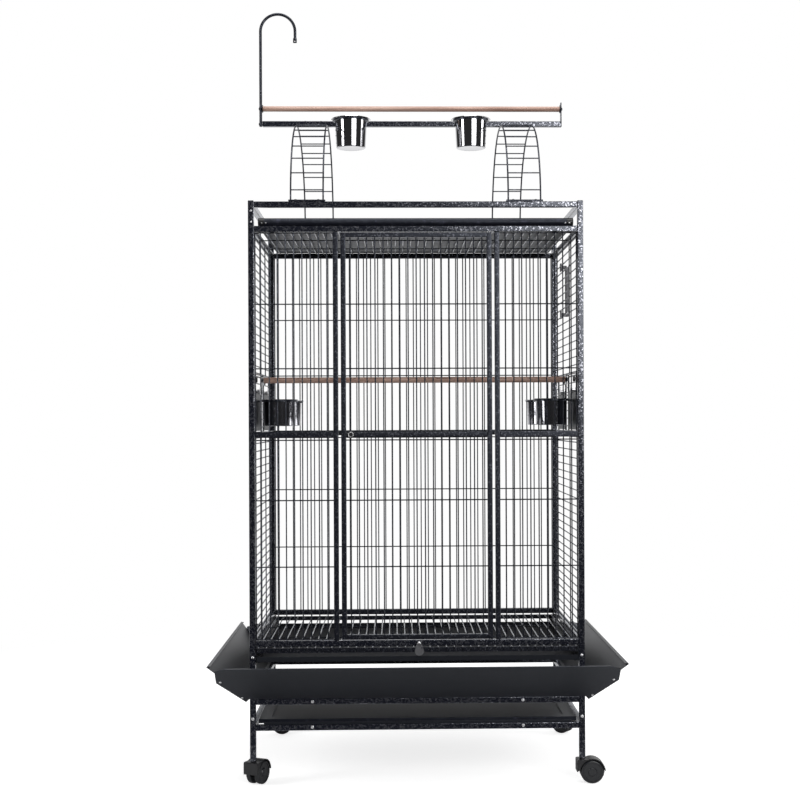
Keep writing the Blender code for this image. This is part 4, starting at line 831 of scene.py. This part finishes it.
def feeder_door(name, side):
    """A feeder door with its ring, the seed shield behind it and the catch on it."""
    low, high = box_of(f"{name}_feeder_door")[:2]
    wire_x, near_y, far_y = side * FEEDER_PLANE, low.y + FEEDER_WIRE, high.y - FEEDER_WIRE
    parts = [
        rod((wire_x, near_y, low.z), (wire_x, near_y, high.z), FEEDER_WIRE, 12),
        rod((wire_x, far_y, low.z + 0.0015), (wire_x, far_y, high.z - 0.0012), FEEDER_WIRE, 12),
        wire_row((wire_x, near_y, 0), (wire_x, far_y, 0), Z, low.z + 0.0055, high.z - 0.0055),
    ]
    for z in (low.z + 0.0035, high.z - 0.0035):
        parts.append(rod((wire_x, near_y, z), (wire_x, far_y, z), FEEDER_WIRE, 12))
    cup_high, centre = box_of(f"{name}_cup")[1:]
    ring_top = cup_high.z - RIM_DROP
    parts.append(ring(CUP_INNER + RING_WIDTH, CUP_INNER, RING_HEIGHT, (centre.x, centre.y, ring_top)))
    slant = (CUP_INNER + RING_WIDTH / 2) * sin(pi / 4)
    for y in (centre.y - slant, centre.y + slant):
        start = (centre.x + side * slant, y - 0.002, ring_top - ARM_BASE)
        parts.append(tube(start, (wire_x, y + 0.002, ring_top - ARM_TOP), 0.0006))
    start = (wire_x - 0.0018, near_y, ring_top - RING_HEIGHT)
    parts.append(tube(start, (wire_x + 0.0018, far_y, ring_top), 0.0006))
    shown(f"{name}_feeder_door", parts, SHADED_WIRE_COAT, f"{name}_feeder")
    face_x, shield_top = wire_x - side * 0.0006, low.z + SHIELD_HEIGHT
    corner = (face_x, far_y, shield_top)
    fold_x = face_x - side * SHIELD_FOLD
    shield = tube((wire_x - side * 0.0022, near_y, low.z + 0.004), corner, SHEET_EDGE)
    fold = tube((fold_x, near_y, shield_top - 0.0016), corner, SHEET_EDGE)
    dressed([shield, fold], f"{name}_feeder_shield", SATIN, f"{name}_feeder")
    catch_z = high.z - 0.0105
    outer = side * (max(abs(low.x), abs(high.x)) - 0.0008)
    catch = turned(BUTTON, 24, (outer, centre.y, catch_z), (0, -side * pi / 2, 0))
    grip = tube((-0.0012, -0.0070, 0), (0.0012, 0.0070, 0.0022), 0.0008)
    placed(grip, (outer - side * 0.0014, centre.y, catch_z), (0, side * pi / 2, 0))
    dressed([catch, grip], f"{name}_catch", BLACK_PLASTIC, f"{name}_feeder")


for name in FEEDERS:
    feeder_door(name, SIDES[name.split("_")[0]])
print(len(FEEDERS), "feeder doors")

# %% [markdown]
# A cup is spun from thin steel sheet. The outline goes up the outside, round the rolled rim and down
# the inside again, and a small radius joins the wall to the base.

# %% Cups
def cup(node, body, radius, base, finish):
    """A cup with the given outer radii under its rim and at its base."""
    low, high, middle = box_of(node)
    rim, depth, wall = (high.x - low.x) / 2, high.z - low.z, 0.0010
    profile = [
        (0.0006, -depth + 0.0008), (base * 0.80, -depth + 0.0008), (base * 0.86, -depth),
        (base - 0.0016, -depth + 0.0003), (base, -depth + 0.0020), (radius, -0.0045),
        (radius + 0.0008, -0.0026), (rim - 0.0024, -0.0018), (rim - 0.0010, -0.0022),
        (rim - 0.0001, -0.0013), (rim - 0.0006, -0.0003), (rim - 0.0022, 0),
        (radius + 0.0010, -0.0006), (radius - wall, -0.0030), (base - wall, -depth + 0.0040),
        (base - wall - 0.0035, -depth + 0.0016), (0.0006, -depth + 0.0016),
    ]
    shown(node, [turned(profile, 48, (middle.x, middle.y, high.z))], finish, body, angle=50)


# The feeder cups take the darker copy of the cup steel, which is painted shade.
for name in FEEDERS:
    cup(f"{name}_cup", f"{name}_feeder_cup", 0.0394, 0.0378, SHADED_CUP_STEEL)
for number in (1, 2):
    cup(f"play_cup_{number}", f"play_cup_{number}_body", 0.0409, 0.0373, CUP_STEEL)
print("six cups")

# %% [markdown]
# ## Trays, grate and shelf
# A tray starts as a cube without its top. A Solidify modifier gives it the thickness of the sheet, and
# a wire under the rim stands for the folded hem.

# %% Trays
SHEET = 0.0012
PLAY_WALL = 0.013


def pan(low, high, hem):
    """An open tray of thin sheet with a hemmed rim."""
    piece = tube(low, high, 0)
    edit("DESELECT")
    bpy.ops.object.mode_set(mode="OBJECT")
    for face in piece.data.polygons:
        face.select = face.normal.z > 0.9
    bpy.ops.object.mode_set(mode="EDIT")
    bpy.ops.mesh.delete(type="FACE")
    bpy.ops.object.mode_set(mode="OBJECT")
    apply_modifier(piece, "SOLIDIFY", thickness=SHEET, offset=-1)
    parts = [soften(piece, SHEET_EDGE)]
    left, right, z = low[0] + hem, high[0] - hem, high[2] - hem
    front, back = low[1] + hem, high[1] - hem
    for y in (front, back):
        parts.append(rod((left, y, z), (right, y, z), hem, 12))
    for x in (left, right):
        parts.append(rod((x, front, z), (x, back, z), hem, 12))
    return joined(*parts)


low, high = box_of("droppings_tray")[:2]
shown("droppings_tray", [pan(low, high, 0.0011)], MATT_BLACK, "lower_tray")
low, high = box_of("play_tray")[:2]
roll = (high.z - low.z) / 2
roll_y, roll_z = low.y + roll, low.z + roll
tray = pan((low.x, roll_y, low.z), (high.x, high.y, low.z + PLAY_WALL), 0.0009)
lip = soften(rod((low.x, roll_y, roll_z), (high.x, roll_y, roll_z), roll, 32), 0.0012)
shown("play_tray", [tray, lip], TRAY_COAT, "top_tray")
print("trays done")

# %% [markdown]
# The walking grate is a flat bar frame with wires laid over it and bent down over its front bar. A lug
# at the front carries the rivet that the grey finger tab turns on.

# %% Grate and tab
GRATE_PITCH = 0.0195
GRATE_SUPPORTS = (0.33, 0.66)
GRATE_BAR = 0.004
RIVET = [
    (0.0004, 0), (0.0026, 0.0001), (0.0038, 0.0007), (0.0042, 0.0016), (0.0016, 0.0017),
    (0.0016, 0.0062),
]
TAB_RIBS = ((0.0180, 0.0082), (0.0210, 0.0090), (0.0240, 0.0090))


def walking_grate():
    low, high = box_of("walking_grate")[:2]
    tab_high, tab_middle = box_of("swivel_tab")[1:]
    front, back, top = box_of("droppings_tray")[0].y - 0.0007, high.y, low.z + 0.0115
    inner_low, inner_high = low.x + GRATE_BAR, high.x - GRATE_BAR
    reach = (GRATE_PITCH - EDGE) / 2
    ends = (low.x - reach, high.x + reach, GRATE_PITCH)
    fall_y = front - 0.0012
    fall = wire_row((0, fall_y, low.z + 0.0035), (0, fall_y, top), X, *ends)
    wires = wire_row((0, low.y, top), (0, back - 0.0025, top), X, *ends)
    # The grate wires keep the brighter frame coat where they catch the light; the grate's frame has the
    # darker copy, which is painted shade.
    dressed([fall, wires], "walking_grate_wires", HAMMERTONE, "grate")
    parts = []
    for y in (front, back - GRATE_BAR):
        parts.append(tube((low.x, y, low.z), (high.x, y + GRATE_BAR, top), 0.0008))
    for x in (low.x, inner_high):
        end = (x + GRATE_BAR, back - GRATE_BAR, top)
        parts.append(tube((x, front + GRATE_BAR, low.z), end, 0.0008))
    for share in GRATE_SUPPORTS:
        y, z = front + share * (back - front), top - 0.0033
        parts.append(rod((inner_low, y, z), (inner_high, y, z)))
    x = tab_middle.x
    lug_low = (x - 0.004, front - 0.0028, low.z + 0.002)
    parts.append(tube(lug_low, (x + 0.004, front + 0.001, high.z), 0.0008))
    shown("walking_grate", parts, SHADED_WIRE_COAT, "grate")
    rivet = turned(RIVET, 24, (x, low.y, tab_high.z - 0.0055), (-pi / 2, 0, 0))
    dressed([rivet], "tab_rivet", BRIGHT_STEEL, "grate", angle=50)


def finger_tab():
    low, high, middle = box_of("swivel_tab")
    parts = [refined("swivel_tab", 0.0006, 40)]
    for drop, half in TAB_RIBS:
        z = high.z - drop
        rib_low = (middle.x - half, low.y - 0.0005, z - 0.0006)
        parts.append(tube(rib_low, (middle.x + half, low.y + 0.001, z + 0.0006), 0.0003))
    dressed(parts, "finger_tab", GREY_PLASTIC, "tab", "swivel_tab", angle=50)


walking_grate()
finger_tab()
print("grate and tab done")

# %% [markdown]
# Runners, shelf and seed guards are folded sheet. Their shape is that of the construction model, with
# the sharp edges taken off.

# %% Runners and shelf
SHELF_BORDER = 0.030
FOLD_EDGE = 0.0003
for name in SIDES:
    shown(f"{name}_runner", [refined(f"{name}_runner", FOLD_EDGE)], SATIN)
low, high = box_of("shelf")[:2]
shelf = shown("shelf", [refined("shelf", 0.0009)], SATIN)
shelf.data.materials.append(TRAY_COAT)
for face in shelf.data.polygons:
    out_x = abs(face.center.x) > high.x - SHELF_BORDER
    out_y = abs(face.center.y) > high.y - SHELF_BORDER
    face.material_index = 1 if out_x or out_y else 0
hems = []
for y in (low.y + 0.0010, high.y - 0.0030):
    hems.append(tube((low.x + TUBE, y, low.z), (high.x - TUBE, y + 0.0020, low.z + 0.0060), 0.0006))
dressed(hems, "shelf_hems", SATIN, "cage")
print("runners and shelf done")

# %% Seed guards
for name in ("front", "rear", "left", "right"):
    shown(f"{name}_guard", [refined(f"{name}_guard", FOLD_EDGE)], SATIN, angle=25)
print("four guards")

# %% [markdown]
# ## Play stand
# Two arched ladders are bent from wire and bolted to the crown by foot plates. They carry the beam
# with its perch, its cups and the toy hook.

# %% Ladders
LADDER_RISE = 0.230
LADDER_WIDTH = 0.0775
LADDER_ROD = 0.002
LADDER_PLATE = 0.004
FIRST_RUNG = 0.024
RUNG_PITCH = 0.0435


def rung_places(half_span, rise):
    """Places along half an ellipse at equal steps of its length, the same from both feet."""
    fine = 400
    points = []
    for i in range(fine + 1):
        points.append((-half_span * cos(pi / 2 * i / fine), rise * sin(pi / 2 * i / fine)))
    places, travelled, wanted = [], 0.0, FIRST_RUNG
    for (y0, z0), (y1, z1) in zip(points, points[1:]):
        travelled += hypot(y1 - y0, z1 - z0)
        if travelled >= wanted:
            places += [(y1, z1), (-y1, z1)]
            wanted += RUNG_PITCH
    return [(y, z) for y, z in places if abs(y) > RUNG_PITCH / 3]


def ladder(node):
    low, high, middle = box_of(node)
    reach, base = high.y - TUBE / 2, high.z - LADDER_ROD - LADDER_RISE
    rail = arched((0, -reach, base), (0, 0, base), LADDER_ROD, 12, 40)
    edit()
    flatten = (1, 1, LADDER_RISE / (reach + LADDER_ROD))
    bpy.ops.transform.resize(value=flatten, center_override=(0, 0, base))
    bpy.ops.object.mode_set(mode="OBJECT")
    left, right = middle.x - LADDER_WIDTH / 2, middle.x + LADDER_WIDTH / 2
    parts = [placed(duplicate(rail), (right, 0, 0)), placed(rail, (left, 0, 0))]
    for y, z in rung_places(reach, LADDER_RISE):
        rung_z = base + 0.0006 + z
        parts.append(rod((left, y, rung_z), (right, y, rung_z), WIRE_RADIUS, 10))
    for y in (-reach, reach):
        end = (high.x, y + TUBE / 2, low.z + LADDER_PLATE)
        parts.append(tube((low.x, y - TUBE / 2, low.z), end, 0.0008))
    shown(node, parts, SHADED_WIRE_COAT)


for name in SIDES:
    ladder(f"{name}_ladder")
print("ladders done")

# %% Beam and perches
BEAM_PLATE = 0.003
beam_low, beam_high = box_of("play_beam")[:2]
beam_top = beam_low.z + TUBE
beam = tube(beam_low, (beam_high.x - BEAM_PLATE + 0.0005, beam_high.y, beam_top))
end_plate = tube((beam_high.x - BEAM_PLATE, beam_low.y, beam_low.z), beam_high, 0.0012)
shown("play_beam", [beam, end_plate], HAMMERTONE)
for node in ("inner_perch", "play_perch"):
    low, high, middle = box_of(node)
    start, end = (low.x, middle.y, middle.z), (high.x, middle.y, middle.z)
    shown(node, [soften(rod(start, end, (high.z - low.z) / 2, 32), 0.0012)], WOOD)
print("beam and perches done")

# %% [markdown]
# The hook is a slim tube bent over in a half circle. Its end is pressed flat and has a hole.

# %% Hook
HOOK_RADIUS = 0.0445
HOOK_TUBE = 0.0037
HOOK_TAIL = 0.020
BLADE_HALF = 0.0016
hook_low, hook_high = box_of("hook_post")[:2]
hook_x, arc_z = hook_low.x + HOOK_TUBE, hook_high.z - HOOK_TUBE - HOOK_RADIUS
bend_middle = (hook_x + HOOK_RADIUS, 0, arc_z)
lead = arc_z - hook_low.z - 0.0005
hook = arched((hook_x, 0, arc_z), bend_middle, HOOK_TUBE, 16, 28, lead, HOOK_TAIL)
tip_x, blade_low = hook_x + 2 * HOOK_RADIUS, arc_z - 0.0295
blade_end = (tip_x + 0.0046, BLADE_HALF, arc_z - 0.017)
blade = tube((tip_x - 0.0052, -BLADE_HALF, blade_low), blade_end, 0.0013)
hole_x, hole_z = tip_x - 0.0004, blade_low + 0.0045
cut(blade, rod((hole_x, -0.006, hole_z), (hole_x, 0.006, hole_z), 0.0016, 16))
dressed([hook, blade], "hook_piece", SHADED_WIRE_COAT, "cage", "hook_post")
print("hook done")

# %% Holders of the play cups
CLAMP_HALF = 0.015
CLAMP_SHEET = 0.002
for number in (1, 2):
    node = f"play_cup_holder_{number}"
    low, high = box_of(node)[:2]
    cup_high, centre = box_of(f"play_cup_{number}")[1:]
    x, ring_top = centre.x, cup_high.z - RIM_DROP
    left, right, front, back = x - CLAMP_HALF, x + CLAMP_HALF, beam_low.y - 0.0023, high.y
    arm_start = (x - 0.004, centre.y + 0.043, ring_top - ARM_BASE)
    parts = [
        ring(0.0453, 0.0413, RING_HEIGHT, (x, centre.y, ring_top)),
        tube((left, front, low.z), (right, front + CLAMP_SHEET, high.z), 0.0005),
        tube((left, front, high.z - CLAMP_SHEET), (right, back, high.z), 0.0005),
        tube((left, back - CLAMP_SHEET, low.z), (right, back, high.z), 0.0005),
        tube(arm_start, (x + 0.004, front + 0.001, ring_top - ARM_TOP), 0.0005),
    ]
    shown(node, parts, SHADED_WIRE_COAT)
print("cup holders done")

# %% [markdown]
# ## Side handle and casters
# The handle is a moulded bar on two feet, screwed through the wires.

# %% Side handle
HANDLE_FOOT = 0.022
FOOT_SHEET = 0.003
ARM_HALF = 0.005
GRIP_HALF = 0.006
low, high, middle = box_of("side_handle")
parts = []
for base in (low.z, high.z - HANDLE_FOOT):
    foot_end = (low.x + FOOT_SHEET, high.y, base + HANDLE_FOOT)
    parts.append(tube((low.x, low.y, base), foot_end, 0.0012))
    z = base + HANDLE_FOOT / 2
    arm_end = (high.x - 0.003, middle.y + ARM_HALF, z + ARM_HALF)
    parts.append(tube((low.x + 0.001, middle.y - ARM_HALF, z - ARM_HALF), arm_end, 0.0018))
grip_reach = HANDLE_FOOT / 2 - ARM_HALF
grip_low = (high.x - 0.0105, middle.y - GRIP_HALF, low.z + grip_reach)
parts.append(tube(grip_low, (high.x, middle.y + GRIP_HALF, high.z - grip_reach), 0.0028))
shown("side_handle", parts, GREY_PLASTIC, angle=60)
print("handle done")

# %% [markdown]
# Each caster has a hood that turns in the leg and two wheels on one axle. The wheels are turned with a
# rounded tread, a recessed face and a raised hub cap.

# %% Casters
TURNS = {"front_left": 66, "front_right": 0, "rear_left": 20, "rear_right": -35}
WHEEL_RADIUS = 0.028
NEAR, FAR = 0.0053, 0.0183
WHEEL = [
    (0.0030, NEAR), (0.0262, NEAR), (0.0276, NEAR + 0.0008), (WHEEL_RADIUS, NEAR + 0.0030),
    (WHEEL_RADIUS, FAR - 0.0045), (0.0274, FAR - 0.0022), (0.0258, FAR - 0.0006), (0.0236, FAR),
    (0.0222, FAR - 0.0002), (0.0214, FAR - 0.0016), (0.0110, FAR - 0.0022),
    (0.0096, FAR - 0.0004), (0.0088, FAR), (0.0006, FAR),
]


def caster(name, turn):
    node = f"{name}_caster_hood"
    hood, body = refined(node, 0.0005, 35), f"{name}_swivel"
    dressed([hood], f"{name}_hood_piece", BLACK_PLASTIC, body, node, angle=45)
    node = f"{name}_caster_wheels"
    low, high, middle = box_of(node)
    parts = [rod((0, -0.0060, 0), (0, 0.0060, 0), 0.0029, 16)]
    for way in (1, -1):
        parts.append(turned(WHEEL, 48, turn=(pi / 2 * way, 0, 0)))
    wheels = placed(joined(*parts), (middle.x, middle.y, WHEEL_RADIUS), (0, 0, radians(turn)))
    dressed([wheels], f"{name}_wheels_piece", WHEEL_PLASTIC, f"{name}_wheel", node, angle=35)


for name, turn in TURNS.items():
    caster(name, turn)
print(len(TURNS), "casters")

# %% [markdown]
# ## Fasteners
# Small bright screws hold the real cage together, and they catch the eye against the black coat. One
# head is turned, cut with a cross and then copied to every place, turned to face away from its surface.

# %% Screw heads
HEAD_HEIGHT = 0.0016
HEAD_PROFILE = [
    (0.0004, HEAD_HEIGHT), (0.0018, 0.0015), (0.0026, 0.0012), (0.0030, 0.0007),
    (0.0031, 0.0001), (0.0031, -0.0015),
]
CROSS_LENGTH, CROSS_WIDTH, CROSS_CUT = 0.0034, 0.0007, 0.0006
FRONT, BACK, UP, OUT = (0, -1, 0), (0, 1, 0), (0, 0, 1), (1, 0, 0)
head = turned(HEAD_PROFILE, 16)
for length, width in ((CROSS_LENGTH, CROSS_WIDTH), (CROSS_WIDTH, CROSS_LENGTH)):
    start = (-length / 2, -width / 2, HEAD_HEIGHT - CROSS_CUT)
    cut(head, tube(start, (length / 2, width / 2, HEAD_HEIGHT + 0.002), 0))
nut = soften(rod((0, 0, -0.0004), (0, 0, 0.0030), 0.0044, 6), 0.0005, 1)
washer = soften(rod((0, 0, -0.0004), (0, 0, 0.0008), 0.0056, 20), 0.0003, 1)


def seated(pattern, place, away, size=1.0):
    """A copy of a fastener at a place, turned to face away from the surface there."""
    return placed(duplicate(pattern), place, Vector(away).to_track_quat("Z", "Y").to_euler(), size)


print("screw head has", len(head.data.polygons), "faces")

# %% Screws of the frame
# Distance from the middle, level and size of each screw, the same at both sides, front and back.
FRAME_SCREWS = (
    (0.3925, 0.305, 1.25), (0.3925, 0.1597, 1.25), (0.3925, 1.3686, 0.8), (0.3925, 1.342, 0.8),
    (0.251, 0.2000, 1.25), (0.2515, 0.1395, 1.25),
)
low, high = box_of("left_side_frame")[:2]
screws = []
for y, away in ((low.y, FRONT), (high.y, BACK)):
    for side in SIDES.values():
        for x, z, size in FRAME_SCREWS:
            screws.append(seated(head, (side * x, y, z), away, size))
dressed(screws, "frame_screws", BRIGHT_STEEL, "cage")
print("frame screws:", len(screws))

# %% Screws of the seed guards
GUARD_SLOPE = 0.984
GUARD_FOOT = (0.2885, 0.2076)
GUARD_SCREWS = ((-0.4635, 0.2565), (-0.4175, 0.2115), (0.4615, 0.2555), (0.4165, 0.2110))
screws = []
for way in (-1, 1):
    for x, z in GUARD_SCREWS:
        y = GUARD_FOOT[0] + (z - GUARD_FOOT[1]) * GUARD_SLOPE
        screws.append(seated(head, (x, way * y, z), (0, way * 0.713, -0.701)))
dressed(screws, "guard_screws", BRIGHT_STEEL, "cage")
print("guard screws:", len(screws))

# %% Bolts of the play stand
bolts = []
for name in SIDES:
    low, high, middle = box_of(f"{name}_ladder")
    for y in (low.y + TUBE / 2, high.y - TUBE / 2):
        for offset in (-0.027, 0.027):
            bolts.append(seated(head, (middle.x + offset, y, low.z + LADDER_PLATE), UP, 1.1))
    for offset in (-0.020, 0.020):
        bolts.append(seated(head, (middle.x + offset, 0, beam_top), UP, 0.9))
beam_z = beam_top - TUBE / 2
for number in (1, 2):
    low, high, middle = box_of(f"play_cup_holder_{number}")
    bolts.append(seated(nut, (middle.x, high.y, beam_z), BACK, 0.9))
dressed(bolts, "play_stand_bolts", DARK_BOLT, "cage")
low, high, middle = box_of("play_perch")
y, z, bolt_x = middle.y, middle.z, hook_low.x + 0.0004
ends = [
    rod((low.x, y, z), (low.x + 0.0018, y, z), 0.0098, 24),
    rod((high.x - 0.0018, y, z), (high.x, y, z), 0.0098, 24),
    seated(head, (bolt_x, y, z), (-1, 0, 0), 1.2),
    seated(washer, (beam_high.x, y, z), OUT),
    seated(head, (beam_high.x + 0.0008, y, z), OUT, 1.2),
    seated(head, (bolt_x, y, beam_z), (-1, 0, 0), 1.2),
]
middle = box_of("inner_perch")[2]
for side in SIDES.values():
    plate_x = side * 0.3916
    ends.append(seated(washer, (plate_x, middle.y, middle.z), (side, 0, 0), 1.3))
    ends.append(seated(nut, (plate_x + side * 0.001, middle.y, middle.z), (side, 0, 0)))
dressed(ends, "perch_ends", DARK_BOLT, "cage")
print("play stand bolts:", len(bolts), "and perch ends:", len(ends))

# %% Screws of the handle
low, high, middle = box_of("side_handle")
foot_x = low.x + FOOT_SHEET
screws, nuts = [], []
for z in (high.z - 0.0085, low.z + 0.0150):
    screws.append(seated(head, (high.x - 0.0052, middle.y - GRIP_HALF, z), FRONT, 0.9))
    screws.append(seated(head, (foot_x, high.y - 0.004, z), OUT, 0.8))
    nuts.append(seated(nut, (foot_x, low.y + 0.0065, z - 0.0100), OUT, 0.8))
dressed(screws, "handle_screws", BRIGHT_STEEL, "cage")
dressed(nuts, "handle_nuts", DARK_BOLT, "cage")
print("handle screws:", len(screws))

# %% [markdown]
# Each feeder door is kept shut by a bright turning bolt through its middle, with a tongue inside that
# turns behind the wire above the opening.

# %% Feeder bolts
BOLT_INNER, BOLT_OUTER = 0.3868, 0.4035
for name in FEEDERS:
    side = SIDES[name.split("_")[0]]
    low, high, middle = box_of(f"{name}_feeder_door")
    y, z = middle.y, high.z - 0.0375
    start, end = (side * BOLT_INNER, y, z), (side * BOLT_OUTER, y, z)
    tongue_end = (side * (BOLT_INNER + 0.0018), y + 0.0045, z + 0.0110)
    wing = tube((-0.0011, -0.0085, 0), (0.0011, 0.0085, 0.0030), 0.0006)
    parts = [
        rod(start, end, 0.0028, 14),
        tube((side * BOLT_INNER, y - 0.0045, z - 0.0095), tongue_end, 0.0006),
        soften(rod((side * (BOLT_OUTER - 0.0035), y, z), end, 0.0068, 20), 0.0008),
        placed(wing, (side * (BOLT_OUTER - 0.0008), y, z), (0, side * pi / 2, 0)),
    ]
    dressed(parts, f"{name}_feeder_bolt", BRIGHT_STEEL, f"{name}_feeder")
print(len(FEEDERS), "feeder bolts")

# %% [markdown]
# The rolled lip of the play tray is closed by a black cap at each end, with a small screw below it.

# %% Tray ends
CAP_LENGTH = 0.0165
LEAN = Vector((0, -0.94, -0.34))
low, high = box_of("play_tray")[:2]
caps, screws = [], []
for outer, way in ((low.x, 1), (high.x, -1)):
    cap_end = (outer + way * CAP_LENGTH, roll_y, roll_z)
    caps.append(soften(rod((outer, roll_y, roll_z), cap_end, roll + FIT, 32), 0.0022, 3))
    for step in (0.0095, 0.0190):
        at = (outer + way * step, roll_y - roll * 0.95, roll_z - roll * 0.34)
        screws.append(seated(head, at, LEAN, 0.6))
dressed(caps, "play_tray_caps", BLACK_PLASTIC, "top_tray")
dressed(screws, "play_tray_screws", BRIGHT_STEEL, "top_tray")
for pattern in (head, nut, washer):
    bpy.data.objects.remove(pattern)
print("tray ends done")
